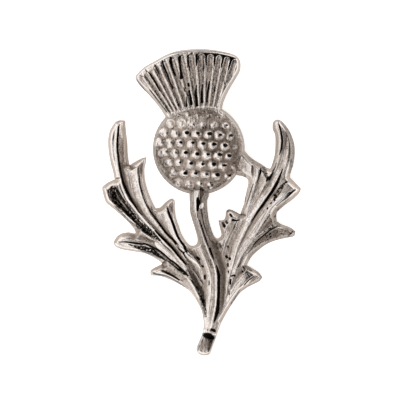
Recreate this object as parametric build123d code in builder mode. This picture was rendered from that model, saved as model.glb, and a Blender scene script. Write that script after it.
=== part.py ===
"""Cast thistle brooch: one relief casting with a plain pin behind its globe.

The casting is drawn face up, its flat back at height 0, with X across, Y up
the stem and the foot of the leaves at the origin. It is then laid down as it
rests on a table, on its pin and on the end of its tail, so that the flower
stands a little higher.
"""

from build123d import *
from collections import namedtuple
from math import asin, atan, cos, degrees, hypot, radians, sin
import os

# Leaves: half the width of the brooch, and from the foot to the leaf tips
leaf_spread = 20.0
leaf_height = 40.0
leaf_crest = 2.6
leaf_edge = 1.5
ridge_fall = 0.07

# Stem and the plain tail below the leaves
stem_width = 3.5
stem_rise = 3.1
tail_width = 3.3
tail_length = 7.0
tail_rise = 1.9

# Globe: the studded bulb, a shallow dome on a short drafted wall
globe_radius = 9.2
globe_x = -0.15
globe_height = 34.4
globe_wall = 1.9
globe_rise = 5.4
globe_draft = 0.6

# Studs on the globe, in staggered rows that lean a little to the right
stud_radius = 0.85
stud_proud = 0.5
stud_pitch = 2.19
stud_row_pitch = 2.0
stud_margin = 0.7
stud_lean = 3.2

# Flower: a fan that spreads from a point near the middle of the globe
fan_shift_x = 0.75
fan_shift_y = -2.6
fan_radius = 23.0
fan_corner_radius = 2.0
fan_foot = 10.2
fan_left = 39.5
fan_right_top = 22.0
fan_right_foot = 18.5
fan_thickness = 2.4
fan_draft = 0.35

# Flutes: round grooves with arched tops, cut between the two sides of the fan
flute_count = 13
flute_left = 35.7
flute_right = 17.6
flute_head = 20.9
flute_foot = 12.2
flute_head_radius = 0.66
flute_foot_radius = 0.34
flute_head_depth = 0.6
flute_foot_depth = 0.3

# Curl: two pitted knobs beside the stem
curl_radius = 1.05
curl_rise = 2.2
curl_pit = 0.5

# Pin: bar, hinge, wire and catch as one plain piece on the back
pin_length = 16.0
pin_bar_width = 3.2
pin_bar_thickness = 0.8
pin_barrel_radius = 1.2
pin_barrel_length = 2.4
pin_wire_radius = 0.45
pin_drop = 3.2
seat_gap = 0.05

# A rung crosses a leaf lobe: its two ends on the outline as shares of
# leaf_spread and leaf_height, the ridge as a share of the way between them,
# and the height of the ridge as a share of leaf_crest.
Rung = namedtuple("Rung", "xa ya xb yb ridge rise")

# wall_a and wall_b are the slopes at the two edges and sag is the hollow
# between the first edge and the ridge, all as shares of the rung. rim is the
# height of the first edge as a share of leaf_edge.
Lobe = namedtuple("Lobe", "name wall_a wall_b sag rim rungs")

left_leaf = [
    Lobe("tip", 0.14, 0.30, 0.04, 1.0, [
        Rung(0.01, 0.020, 0.08, 0.020, 0.55, 0.85),
        Rung(-0.10, 0.160, 0.01, 0.180, 0.55, 0.90),
        Rung(-0.27, 0.290, -0.13, 0.320, 0.55, 0.95),
        Rung(-0.50, 0.410, -0.34, 0.440, 0.55, 1.00),
        Rung(-0.69, 0.530, -0.53, 0.570, 0.50, 1.00),
        Rung(-0.83, 0.640, -0.66, 0.670, 0.50, 1.00),
        Rung(-0.88, 0.740, -0.71, 0.750, 0.50, 1.00),
        Rung(-0.925, 0.850, -0.72, 0.850, 0.48, 1.00),
        Rung(-0.925, 0.925, -0.735, 0.925, 0.52, 0.95),
        Rung(-0.900, 0.970, -0.740, 0.970, 0.53, 0.88),
        Rung(-0.850, 1.010, -0.750, 1.010, 0.50, 0.75),
    ]),
    Lobe("inner upper", 0.10, 0.16, 0.06, 1.0, [
        Rung(-0.10, 0.220, -0.01, 0.250, 0.60, 0.85),
        Rung(-0.28, 0.360, -0.15, 0.385, 0.62, 0.90),
        Rung(-0.49, 0.480, -0.36, 0.520, 0.62, 0.95),
        Rung(-0.66, 0.600, -0.48, 0.600, 0.68, 0.95),
        Rung(-0.74, 0.680, -0.545, 0.685, 0.73, 0.95),
        Rung(-0.76, 0.755, -0.550, 0.750, 0.69, 0.90),
        Rung(-0.70, 0.790, -0.540, 0.785, 0.66, 0.85),
        Rung(-0.60, 0.812, -0.530, 0.817, 0.55, 0.75),
    ]),
    Lobe("inner lower", 0.12, 0.16, 0.06, 1.0, [
        Rung(0.03, 0.080, 0.11, 0.090, 0.50, 0.75),
        Rung(-0.03, 0.200, 0.10, 0.240, 0.50, 0.80),
        Rung(-0.17, 0.300, 0.04, 0.355, 0.50, 0.85),
        Rung(-0.30, 0.390, -0.05, 0.378, 0.52, 0.90),
        Rung(-0.40, 0.480, -0.200, 0.455, 0.66, 0.92),
        Rung(-0.44, 0.540, -0.240, 0.545, 0.66, 0.90),
        Rung(-0.40, 0.570, -0.245, 0.575, 0.60, 0.82),
        Rung(-0.31, 0.607, -0.250, 0.607, 0.50, 0.72),
    ]),
    Lobe("outer upper", 0.07, 0.12, 0.14, 1.25, [
        Rung(-0.02, 0.100, 0.03, 0.125, 0.75, 0.80),
        Rung(-0.25, 0.250, -0.13, 0.290, 0.78, 0.85),
        Rung(-0.48, 0.360, -0.36, 0.410, 0.78, 0.90),
        Rung(-0.68, 0.462, -0.51, 0.525, 0.80, 0.92),
        Rung(-0.89, 0.560, -0.69, 0.610, 0.80, 0.92),
        Rung(-0.980, 0.625, -0.79, 0.680, 0.80, 0.90),
        Rung(-0.990, 0.665, -0.84, 0.710, 0.75, 0.85),
        Rung(-0.960, 0.685, -0.90, 0.702, 0.60, 0.72),
    ]),
    Lobe("outer middle", 0.08, 0.28, 0.08, 1.1, [
        Rung(0.03, 0.070, 0.08, 0.110, 0.60, 0.80),
        Rung(-0.16, 0.185, -0.06, 0.230, 0.60, 0.85),
        Rung(-0.37, 0.280, -0.26, 0.340, 0.55, 0.85),
        Rung(-0.50, 0.322, -0.42, 0.420, 0.52, 0.82),
        Rung(-0.656, 0.340, -0.63, 0.446, 0.50, 0.80),
        Rung(-0.79, 0.350, -0.77, 0.442, 0.50, 0.78),
        Rung(-0.850, 0.363, -0.840, 0.418, 0.50, 0.70),
        Rung(-0.873, 0.380, -0.867, 0.397, 0.50, 0.60),
    ]),
    Lobe("outer lower", 0.08, 0.20, 0.06, 1.0, [
        Rung(0.035, 0.005, 0.09, 0.030, 0.50, 0.80),
        Rung(-0.005, 0.085, 0.06, 0.120, 0.45, 0.82),
        Rung(-0.155, 0.162, -0.08, 0.230, 0.42, 0.82),
        Rung(-0.29, 0.200, -0.23, 0.285, 0.40, 0.80),
        Rung(-0.42, 0.220, -0.38, 0.284, 0.40, 0.76),
        Rung(-0.495, 0.226, -0.48, 0.260, 0.45, 0.66),
    ]),
]

right_leaf = [
    Lobe("tip", 0.14, 0.14, 0.03, 1.0, [
        Rung(0.17, 0.010, 0.22, 0.010, 0.50, 0.85),
        Rung(0.24, 0.150, 0.36, 0.170, 0.50, 0.92),
        Rung(0.33, 0.290, 0.46, 0.310, 0.50, 0.97),
        Rung(0.42, 0.410, 0.56, 0.430, 0.50, 1.00),
        Rung(0.49, 0.540, 0.67, 0.560, 0.50, 1.00),
        Rung(0.58, 0.640, 0.79, 0.665, 0.45, 1.00),
        Rung(0.680, 0.755, 0.910, 0.740, 0.38, 0.98),
        Rung(0.740, 0.825, 0.957, 0.825, 0.30, 0.97),
        Rung(0.748, 0.885, 0.950, 0.885, 0.34, 0.95),
        Rung(0.728, 0.940, 0.905, 0.940, 0.48, 0.92),
        Rung(0.715, 0.978, 0.855, 0.978, 0.48, 0.86),
        Rung(0.735, 1.012, 0.815, 1.010, 0.50, 0.75),
    ]),
    Lobe("bridge", 0.12, 0.14, 0.04, 1.0, [
        Rung(0.22, 0.180, 0.34, 0.200, 0.45, 0.82),
        Rung(0.29, 0.340, 0.43, 0.370, 0.45, 0.88),
        Rung(0.405, 0.520, 0.58, 0.530, 0.42, 0.90),
        Rung(0.440, 0.610, 0.65, 0.620, 0.38, 0.90),
        Rung(0.472, 0.685, 0.73, 0.740, 0.35, 0.90),
        Rung(0.452, 0.710, 0.66, 0.775, 0.40, 0.90),
        Rung(0.385, 0.727, 0.50, 0.828, 0.45, 0.90),
        Rung(0.300, 0.735, 0.40, 0.865, 0.50, 0.90),
    ]),
    Lobe("outer upper", 0.12, 0.14, 0.09, 1.0, [
        Rung(0.24, 0.120, 0.34, 0.130, 0.60, 0.80),
        Rung(0.35, 0.300, 0.48, 0.310, 0.62, 0.86),
        Rung(0.48, 0.430, 0.62, 0.410, 0.66, 0.88),
        Rung(0.61, 0.550, 0.770, 0.492, 0.68, 0.88),
        Rung(0.70, 0.630, 0.845, 0.572, 0.68, 0.86),
        Rung(0.82, 0.705, 0.935, 0.602, 0.66, 0.82),
        Rung(0.91, 0.713, 0.990, 0.632, 0.60, 0.76),
        Rung(0.995, 0.680, 1.015, 0.656, 0.50, 0.62),
    ]),
    Lobe("outer middle", 0.12, 0.30, 0.05, 1.0, [
        Rung(0.23, 0.090, 0.33, 0.090, 0.45, 0.80),
        Rung(0.33, 0.270, 0.45, 0.255, 0.42, 0.84),
        Rung(0.45, 0.390, 0.550, 0.328, 0.38, 0.84),
        Rung(0.58, 0.460, 0.66, 0.372, 0.34, 0.82),
        Rung(0.72, 0.497, 0.76, 0.394, 0.32, 0.80),
        Rung(0.86, 0.480, 0.88, 0.406, 0.35, 0.74),
        Rung(0.940, 0.460, 0.955, 0.421, 0.45, 0.62),
    ]),
    Lobe("outer lower", 0.14, 0.16, 0.05, 1.0, [
        Rung(0.16, 0.020, 0.230, 0.000, 0.60, 0.80),
        Rung(0.23, 0.110, 0.335, 0.085, 0.60, 0.82),
        Rung(0.32, 0.220, 0.430, 0.142, 0.58, 0.82),
        Rung(0.44, 0.282, 0.52, 0.168, 0.58, 0.80),
        Rung(0.54, 0.260, 0.59, 0.190, 0.58, 0.74),
        Rung(0.61, 0.232, 0.630, 0.208, 0.50, 0.62),
    ]),
    Lobe("inner lower", 0.12, 0.14, 0.04, 1.0, [
        Rung(0.14, 0.130, 0.28, 0.130, 0.50, 0.78),
        Rung(0.14, 0.290, 0.34, 0.290, 0.55, 0.80),
        Rung(0.13, 0.403, 0.40, 0.400, 0.60, 0.80),
        Rung(0.208, 0.440, 0.43, 0.470, 0.65, 0.80),
        Rung(0.195, 0.495, 0.42, 0.525, 0.65, 0.80),
        Rung(0.235, 0.530, 0.39, 0.548, 0.60, 0.72),
    ]),
]

# A station crosses the stem: its middle as a share of leaf_spread and of the
# stem's or the tail's length, its width and rise as shares of theirs, and the
# angle that it leans from level.
Station = namedtuple("Station", "x y width lean ridge rise")

stem = Lobe("stem", 0.16, 0.16, 0.03, 1.0, [
    Station(0.110, -0.047, 0.89, -12, 0.62, 0.62),
    Station(0.135, 0.023, 1.03, -4, 0.56, 0.86),
    Station(0.170, 0.175, 1.03, 0, 0.60, 0.95),
    Station(0.150, 0.322, 1.05, 0, 0.60, 1.00),
    Station(0.056, 0.468, 1.02, 0, 0.50, 1.00),
    Station(0.006, 0.585, 1.06, 0, 0.40, 1.00),
    Station(-0.014, 0.673, 1.12, 0, 0.45, 1.00),
    Station(-0.008, 0.760, 1.20, 0, 0.50, 1.00),
    Station(0.000, 0.813, 1.35, 0, 0.50, 1.00),
])
tail = Lobe("tail", 0.14, 0.14, 0.02, 1.0, [
    Station(0.125, 0.060, 1.06, -4, 0.50, 1.25),
    Station(0.110, -0.240, 0.98, -12, 0.50, 1.10),
    Station(0.093, -0.430, 0.95, -8, 0.50, 0.72),
    Station(0.068, -0.615, 1.00, -4, 0.50, 0.82),
    Station(0.038, -0.810, 1.06, 0, 0.50, 0.95),
    Station(0.036, -0.950, 0.90, 0, 0.50, 0.85),
    Station(0.040, -1.000, 0.60, 0, 0.50, 0.68),
])

# The middles of the curl's knobs, as shares of leaf_spread and leaf_height,
# and their sizes as shares of curl_radius.
Knob = namedtuple("Knob", "x y size")
curl_knobs = [
    Knob(0.300, 0.528, 1.2),
    Knob(0.225, 0.482, 1.05),
]


def rung_ends(rung):
    """Where a leaf's rung meets the two edges of its lobe."""
    a = Vector(rung.xa * leaf_spread, rung.ya * leaf_height)
    b = Vector(rung.xb * leaf_spread, rung.yb * leaf_height)
    return a, b


def station_ends(station, length, width):
    """Where a station meets the two edges of the stem or the tail."""
    middle = Vector(station.x * leaf_spread, station.y * length)
    half = Vector(width * station.width / 2, 0).rotate(Axis.Z, station.lean)
    return middle - half, middle + half


def relief(lobe, ends, crest_height):
    """Loft a lobe through upright sections: wall, hollow, ridge, steep face, wall."""
    with BuildPart() as body:
        for section, (a, b) in zip(lobe.rungs, ends):
            across = b - a
            width = across.length
            top = crest_height * section.rise
            edge = min(leaf_edge, 0.8 * top)
            first = (lobe.wall_a * width, min(lobe.rim * edge, 0.95 * top))
            last = ((1 - lobe.wall_b) * width, edge)
            ridge = (section.ridge * width, top)
            below = ((section.ridge + ridge_fall) * width, (top + edge) / 2)
            hollow = ((first[0] + ridge[0]) / 2, (first[1] + top) / 2 - lobe.sag * width)
            upright = Plane(origin=a, x_dir=across, z_dir=across.cross(Vector(0, 0, 1)))
            with BuildSketch(upright):
                with BuildLine():
                    Polyline(first, (0, 0), (width, 0), last, below, ridge, hollow, close=True)
                make_face()
        loft(ruled=True)
    return body.part


def stud_places():
    """Where the studs stand in plan, measured from the middle of the globe."""
    reach = globe_radius - globe_draft - stud_margin
    rows = int(reach / stud_row_pitch) + 1
    places = []
    for row in range(-rows, rows + 1):
        shift = stud_pitch / 2 if row % 2 else 0
        for step in range(-rows, rows + 1):
            place = Vector(step * stud_pitch + shift, row * stud_row_pitch)
            if place.length < reach:
                places.append(place.rotate(Axis.Z, -stud_lean))
    return places


def fan_point(radius, angle):
    """A point of the fan at a radius, and at an angle to the right of upright."""
    return Vector(radius * sin(radians(angle)), radius * cos(radians(angle)))


os.makedirs("parts", exist_ok=True)

# Leaves, stem and tail
lobes = []
for lobe in left_leaf + right_leaf:
    lobes.append(relief(lobe, [rung_ends(rung) for rung in lobe.rungs], leaf_crest))
stem_ends = [station_ends(station, globe_height, stem_width) for station in stem.rungs]
lobes.append(relief(stem, stem_ends, stem_rise))
tail_ends = [station_ends(station, tail_length, tail_width) for station in tail.rungs]
lobes.append(relief(tail, tail_ends, tail_rise))

# Globe
globe_middle = Vector(globe_x, globe_height)
cap_foot = globe_radius - globe_draft
cap_rise = globe_rise - globe_wall
cap_radius = (cap_foot**2 + cap_rise**2) / (2 * cap_rise)
cap_middle = globe_middle + Vector(0, 0, globe_rise - cap_radius)
with BuildPart() as globe:
    with BuildSketch(Plane.XZ):
        with BuildLine():
            Polyline((0, globe_rise), (0, 0), (globe_radius, 0), (cap_foot, globe_wall))
            RadiusArc((cap_foot, globe_wall), (0, globe_rise), -cap_radius)
        make_face()
    revolve(axis=Axis.Z)
globe_body = globe.part.moved(Location(globe_middle))

studs = []
for place in stud_places():
    lift = (cap_radius**2 - place.length**2) ** 0.5
    outward = (place + Vector(0, 0, lift)).normalized()
    studs.append(cap_middle + outward * (cap_radius + stud_proud - stud_radius))

# Flute: a tapered round cutter with a round head, its foot at the origin
foot_height = fan_thickness + flute_foot_radius - flute_foot_depth
head_height = fan_thickness + flute_head_radius - flute_head_depth
flute_run = hypot(flute_head - flute_foot, head_height - foot_height)
shoulder = (flute_head_radius, flute_run)
flute_tip = (0, flute_run + flute_head_radius)
with BuildPart() as flute:
    with BuildSketch(Plane.XZ):
        with BuildLine():
            Polyline(flute_tip, (0, 0), (flute_foot_radius, 0), shoulder)
            RadiusArc(shoulder, flute_tip, -flute_head_radius)
        make_face()
    revolve(axis=Axis.Z)

# Flower: the fan, then its flutes
fan_middle = globe_middle + Vector(fan_shift_x, fan_shift_y)
with BuildPart() as flower:
    with BuildSketch(Plane(fan_middle)) as fan_outline:
        left_corner = fan_point(fan_radius, -fan_left)
        crown = fan_point(fan_radius, (fan_right_top - fan_left) / 2)
        right_corner = fan_point(fan_radius, fan_right_top)
        left_foot = fan_point(fan_foot, -fan_left)
        right_foot = fan_point(fan_foot, fan_right_foot)
        with BuildLine():
            Polyline(left_corner, left_foot, right_foot, right_corner)
            ThreePointArc(right_corner, crown, left_corner)
        make_face()
        fillet(fan_outline.vertices().sort_by(Axis.Y)[-2:], fan_corner_radius)
    extrude(amount=fan_thickness, taper=degrees(atan(fan_draft / fan_thickness)))

    for count in range(flute_count):
        angle = -flute_left + (flute_left + flute_right) * count / (flute_count - 1)
        foot = fan_middle + fan_point(flute_foot, angle) + Vector(0, 0, foot_height)
        head = fan_middle + fan_point(flute_head, angle) + Vector(0, 0, head_height)
        cutter = Plane(origin=foot, x_dir=Vector(0, 0, 1), z_dir=head - foot)
        add(flute.part.moved(cutter.location), mode=Mode.SUBTRACT)

# The whole casting
with BuildPart() as casting:
    add(lobes)
    add(globe_body)
    add(flower.part)
    with Locations(*studs):
        Sphere(stud_radius)
    for knob in curl_knobs:
        middle = Vector(knob.x * leaf_spread, knob.y * leaf_height)
        with Locations(middle):
            Cylinder(curl_radius * knob.size, curl_rise, align=(Align.CENTER, Align.CENTER, Align.MIN))
        with Locations(middle + Vector(0, 0, curl_rise)):
            Sphere(curl_pit, mode=Mode.SUBTRACT)

# Pin: across the back behind the middle of the globe
pin_middle = Vector(globe_middle.X, globe_middle.Y)
barrel_depth = seat_gap + pin_drop - pin_barrel_radius
barrel_place = (pin_length - pin_barrel_length) / 2
with BuildPart() as pin:
    with Locations(pin_middle + Vector(0, 0, -seat_gap)):
        Box(pin_length, pin_bar_width, pin_bar_thickness, align=(Align.CENTER, Align.CENTER, Align.MAX))
        with Locations((-barrel_place, 0), (barrel_place, 0)):
            Box(pin_barrel_length, 2 * pin_barrel_radius, barrel_depth - seat_gap,
                align=(Align.CENTER, Align.CENTER, Align.MAX))
    with Locations(pin_middle + Vector(0, 0, -barrel_depth)):
        Cylinder(pin_wire_radius, pin_length - pin_barrel_length, rotation=(0, 90, 0))
        with Locations((-barrel_place, 0), (barrel_place, 0)):
            Cylinder(pin_barrel_radius, pin_barrel_length, rotation=(0, 90, 0))

# Lay it down: the barrels and the end of the tail touch the table
reach = globe_middle.Y + tail_length
slant = hypot(reach, barrel_depth)
rest_tilt = degrees(atan(barrel_depth / reach) + asin(pin_barrel_radius / slant))
tilted = casting.part.rotate(Axis.X, rest_tilt)
tilted_pin = pin.part.rotate(Axis.X, rest_tilt)
box = tilted.bounding_box()
floor = tilted_pin.bounding_box().min.Z
rest = Location((-box.center().X, -box.center().Y, -floor))

thistle_casting = tilted.moved(rest)
thistle_casting.label = "thistle_casting"
export_step(thistle_casting, "parts/thistle_casting.step")

brooch_pin = tilted_pin.moved(rest)
brooch_pin.label = "brooch_pin"
export_step(brooch_pin, "parts/brooch_pin.step")
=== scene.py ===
"""Cast thistle brooch: the looks of the casting and of its plain pin.

The casting is drawn as in the part's source: face up in a drawing plane, with
its flat back at height 0, X across, Y up the stem and the foot of the leaves at
the origin. Tables of places are in squares of 0.2 mm, as on squared paper, and
every other size is in millimetres until a mesh is written, in metres. Angles
are in degrees.
"""

import logging
import math
from collections.abc import Callable, Iterable
from dataclasses import dataclass
from enum import Enum
from typing import NamedTuple

import bmesh
import bpy
import numpy as np
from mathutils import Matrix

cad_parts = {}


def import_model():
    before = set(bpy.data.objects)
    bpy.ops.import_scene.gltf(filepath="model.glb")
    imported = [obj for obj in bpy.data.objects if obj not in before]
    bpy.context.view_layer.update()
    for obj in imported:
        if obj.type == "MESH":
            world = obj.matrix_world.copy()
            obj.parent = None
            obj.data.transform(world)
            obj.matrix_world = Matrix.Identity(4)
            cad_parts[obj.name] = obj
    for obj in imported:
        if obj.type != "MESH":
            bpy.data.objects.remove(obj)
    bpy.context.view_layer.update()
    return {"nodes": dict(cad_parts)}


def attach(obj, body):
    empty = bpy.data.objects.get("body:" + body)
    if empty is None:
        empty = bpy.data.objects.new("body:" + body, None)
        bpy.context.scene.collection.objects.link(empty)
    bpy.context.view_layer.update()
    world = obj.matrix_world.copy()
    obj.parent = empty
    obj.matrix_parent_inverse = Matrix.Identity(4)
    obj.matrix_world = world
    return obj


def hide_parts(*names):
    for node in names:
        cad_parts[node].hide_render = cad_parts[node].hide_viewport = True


LOG = logging.getLogger("thistle")

# One square of the drawing paper, and one metre, in millimetres
SQUARE = 0.2
METRE = 1000.0

CASTING_NODE = "thistle_casting"
PIN_NODE = "brooch_pin"
BODY = "root"

# About how long the straight pieces of an outline, a rib and a stroke are, in mm
OUTLINE_STEP = 0.35
RIB_STEP = 0.45
STROKE_STEP = 0.25

# The narrowest half width of a stroke, and how far round it places are looked at, in mm
LEAST_WIDTH = 0.03
STROKE_MARGIN = 0.3

# How many random values a swell has each way
LATTICE = 256

# How many places are measured at a time, to bound the memory
PORTION = 20000

# The least length, or squared length, that anything is divided by
TINY = 1e-12

# How near each other points of a mesh are merged, in metres
MERGE = 1e-7

# The sockets of a Mix node for its two colours and for their mix
FIRST_COLOUR = 6
SECOND_COLOUR = 7
MIXED_COLOUR = 2

# A knot is x and y in squares, with a height or a half width in mm
Knot = tuple[float, float, float]

# A relief gives each place its height, its grain (how far across and along the nearest rib it is)
# and its tarnish and painted light: from -1, a painted highlight wiped clean, over 0 left as it is,
# through brown patina and painted shade, to 1, the black of painted shade
Relief = tuple[np.ndarray, np.ndarray, np.ndarray]
ReliefOf = Callable[[np.ndarray], Relief]


# Small mathematics of relief

def in_mm(rows: tuple[tuple[float, ...], ...]) -> np.ndarray:
    """Turn the x and y of points or knots from squares to mm, and leave what goes with them.

    Args:
        rows: The points or knots.

    Returns:
        One row a point.
    """
    turned = np.array(rows, float)
    turned[:, :2] *= SQUARE
    return turned


def smooth_path(points: np.ndarray, step: float) -> np.ndarray:
    """Run a soft curve through given points.

    Each span between two points is a cubic whose end slopes are half the
    difference of the neighbouring points, cut into equal shares about one step
    long. Columns past the first two follow in the same way.

    Args:
        points: One row a point: x, y and any other values that go with them.
        step: About how long each cut piece is, in the unit of x and y.

    Returns:
        The denser rows, the last point among them.
    """
    before = np.vstack([2 * points[0] - points[1], points[:-1]])
    after = np.vstack([points[1:], 2 * points[-1] - points[-2]])
    slope = (after - before) / 2
    span = np.hypot(*(points[1:, :2] - points[:-1, :2]).T)
    cuts = max(2, int(np.ceil(span.max() / step)))
    share = (np.arange(cuts) / cuts)[None, :, None]
    start, end = points[:-1, None], points[1:, None]
    start_slope, end_slope = slope[:-1, None], slope[1:, None]
    curve = (
        (2 * share**3 - 3 * share**2 + 1) * start
        + (share**3 - 2 * share**2 + share) * start_slope
        + (3 * share**2 - 2 * share**3) * end
        + (share**3 - share**2) * end_slope
    )
    return np.vstack([curve.reshape(-1, points.shape[1]), points[-1:]])


def soft_max(first: np.ndarray, second: np.ndarray, blend: float) -> np.ndarray:
    """Take the higher of two heights, with the meeting line rounded.

    Where they differ by less than the blend, the square of what is left of the
    blend, over four blends, is added.

    Args:
        first: Heights.
        second: Heights at the same places.
        blend: How far apart the two still soften each other.

    Returns:
        The joined heights.
    """
    near = np.clip(blend - np.abs(first - second), 0, None)
    return np.maximum(first, second) + near**2 / (4 * blend)


def soft_min(first: np.ndarray, second: np.ndarray, blend: float) -> np.ndarray:
    """Take the lower of two heights, with the meeting line rounded."""
    return -soft_max(-first, -second, blend)


def ease(value: np.ndarray) -> np.ndarray:
    """Rise smoothly from 0 to 1 as the value goes from 0 to 1, by its square times three less twice it."""
    share = np.clip(value, 0, 1)
    return share * share * (3 - 2 * share)


class Fade(NamedTuple):
    """Something that sets in smoothly: where it starts, where it is full, and how much it is then.

    The start may be above the end: then it sets in as the value falls.
    """

    start: float
    end: float
    full: float = 1.0

    def at(self, value: np.ndarray) -> np.ndarray:
        """Give how much of it there is at a value, from 0 to its full amount."""
        return self.full * ease((value - self.start) / (self.end - self.start))


# How the tarnish and painted light of strokes and spots sets in, in mm inside their edge
SOFT_EDGE = Fade(-0.04, 0.06)


class Swell(NamedTuple):
    """A smooth random unevenness: the spacing of its humps in mm, its seed, and how far it swings."""

    spacing: float
    seed: int
    swing: float

    def at(self, places: np.ndarray) -> np.ndarray:
        """Work out the swell over the drawing plane.

        Seeded random values stand on a square lattice, and between them the value
        passes smoothly from one to the next, first across and then up.

        Args:
            places: One row a place: x, y in mm.

        Returns:
            One value a place, from about minus to plus the swing.
        """
        lattice = np.random.default_rng(self.seed).uniform(-1, 1, (LATTICE, LATTICE))
        cell = places / self.spacing + LATTICE // 2
        corner = np.floor(cell).astype(int)
        right, up = ease(cell - corner).T
        column, row = np.mod(corner, LATTICE - 1).T
        low, high = (
            lattice[line, column] * (1 - right) + lattice[line, column + 1] * right
            for line in (row, row + 1)
        )
        return self.swing * (low * (1 - up) + high * up)


class Near(NamedTuple):
    """The nearest point of a path: how far it is, the path's other values there, and the hand."""

    distance: np.ndarray
    values: np.ndarray
    hand: np.ndarray


def portions(places: np.ndarray) -> list[np.ndarray]:
    """Split places into portions that are small enough to be measured at one time."""
    return np.array_split(places, math.ceil(len(places) / PORTION))


def nearest_on_path(places: np.ndarray, path: np.ndarray) -> Near:
    """Find the nearest point of a path for every place.

    For each straight piece the place is dropped onto it at right angles, held
    between its two ends, and the piece with the shortest drop is kept. The hand
    is the sine of the turn from the piece to the place: 1 is fully on the right.

    Args:
        places: One row a place: x, y.
        path: One row a path point: x, y and other values.

    Returns:
        Distance, the path's other values there, and the hand.
    """
    start, run = path[:-1], path[1:] - path[:-1]
    length2 = np.maximum((run[:, :2] ** 2).sum(1), TINY)
    parts = []
    for part in portions(places):
        dx = part[:, None, 0] - start[None, :, 0]
        dy = part[:, None, 1] - start[None, :, 1]
        share = np.clip((dx * run[:, 0] + dy * run[:, 1]) / length2, 0, 1)
        rx = dx - share * run[:, 0]
        ry = dy - share * run[:, 1]
        best = np.argmin(rx**2 + ry**2, axis=1)
        row = np.arange(len(part))
        rx, ry, share = rx[row, best], ry[row, best], share[row, best]
        distance = np.hypot(rx, ry)
        cross = run[best, 1] * rx - run[best, 0] * ry
        hand = cross / np.maximum(distance * np.sqrt(length2[best]), TINY)
        values = start[best, 2:] + share[:, None] * run[best, 2:]
        parts.append((distance, values, hand))
    return Near(*(np.concatenate(column) for column in zip(*parts)))


class Side(NamedTuple):
    """One side of an outline, corner to corner: how steep its wall is, and its points in squares."""

    steep: float
    points: tuple[tuple[float, float], ...]


class Outline:
    """A closed outline in the drawing plane, with the steepness of the wall that stands on it."""

    def __init__(self, sides: tuple[Side, ...]) -> None:
        """Join the sides, each a soft curve, into one closed line.

        Args:
            sides: The sides in order round the outline. Each begins where the one before ends.
        """
        runs = []
        for side in sides:
            curve = smooth_path(in_mm(side.points), OUTLINE_STEP)[:-1]
            runs.append(np.column_stack([curve, np.full(len(curve), side.steep)]))
        line = np.vstack(runs)
        self.line = np.vstack([line, line[:1]])

    def inside(self, places: np.ndarray) -> np.ndarray:
        """Say which places are inside: a level line from them crosses the outline an odd number of times.

        Args:
            places: One row a place: x, y in mm.

        Returns:
            True or False for each place.
        """
        start, end = self.line[:-1], self.line[1:]
        rise = np.where(start[:, 1] == end[:, 1], 1.0, end[:, 1] - start[:, 1])
        parts = []
        for part in portions(places):
            x, y = part[:, :1], part[:, 1:2]
            spans = (start[:, 1] > y) != (end[:, 1] > y)
            cut = start[:, 0] + (y - start[:, 1]) * (end[:, 0] - start[:, 0]) / rise
            parts.append((spans & (x < cut)).sum(1) % 2 == 1)
        return np.concatenate(parts)

    def measure(self, places: np.ndarray) -> tuple[np.ndarray, np.ndarray]:
        """Measure how deep inside the outline each place is, and the wall's steepness there.

        Args:
            places: One row a place: x, y in mm.

        Returns:
            Depth in mm, negative outside, and steepness.
        """
        near = nearest_on_path(places, self.line)
        sign = np.where(self.inside(places), 1.0, -1.0)
        return near.distance * sign, near.values[:, 0]

    def pull_in(self, places: np.ndarray, depth: np.ndarray) -> np.ndarray:
        """Move places that lie outside onto the outline, straight along the shortest way.

        Args:
            places: One row a place: x, y in mm.
            depth: How deep inside each is, not above 0 outside.

        Returns:
            The places, with those outside moved.
        """
        start, run = self.line[:-1, :2], self.line[1:, :2] - self.line[:-1, :2]
        length2 = np.maximum((run**2).sum(1), TINY)
        moved = places.copy()
        out = np.nonzero(depth <= 0)[0]
        offset = places[out, None] - start[None]
        share = np.clip((offset * run).sum(2) / length2, 0, 1)
        foot = start[None] + share[..., None] * run[None]
        best = ((places[out, None] - foot) ** 2).sum(2).argmin(1)
        moved[out] = foot[np.arange(len(out)), best]
        return moved


class Flank(NamedTuple):
    """One hand of a rib: three slopes one after the other, and where they change.

    It keeps its slope as far as its reach in mm, then has the slope beyond as far
    as its end, and the last slope from there on.
    """

    slope: float
    reach: float = 20.0
    beyond: float = 50.0
    end: float = 60.0
    last: float = 50.0

    def fall(self, away: np.ndarray) -> np.ndarray:
        """Work out how far the flank has fallen at a distance from the ridge, slope by slope.

        Args:
            away: Distances in mm.

        Returns:
            The falls in mm.
        """
        slopes = (self.slope, self.beyond, self.last)
        first, middle, last = (math.tan(math.radians(slope)) for slope in slopes)
        near = first * np.minimum(away, self.reach)
        beyond = middle * np.clip(away - self.reach, 0, self.end - self.reach)
        return near + beyond + last * np.clip(away - self.end, 0, None)


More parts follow.
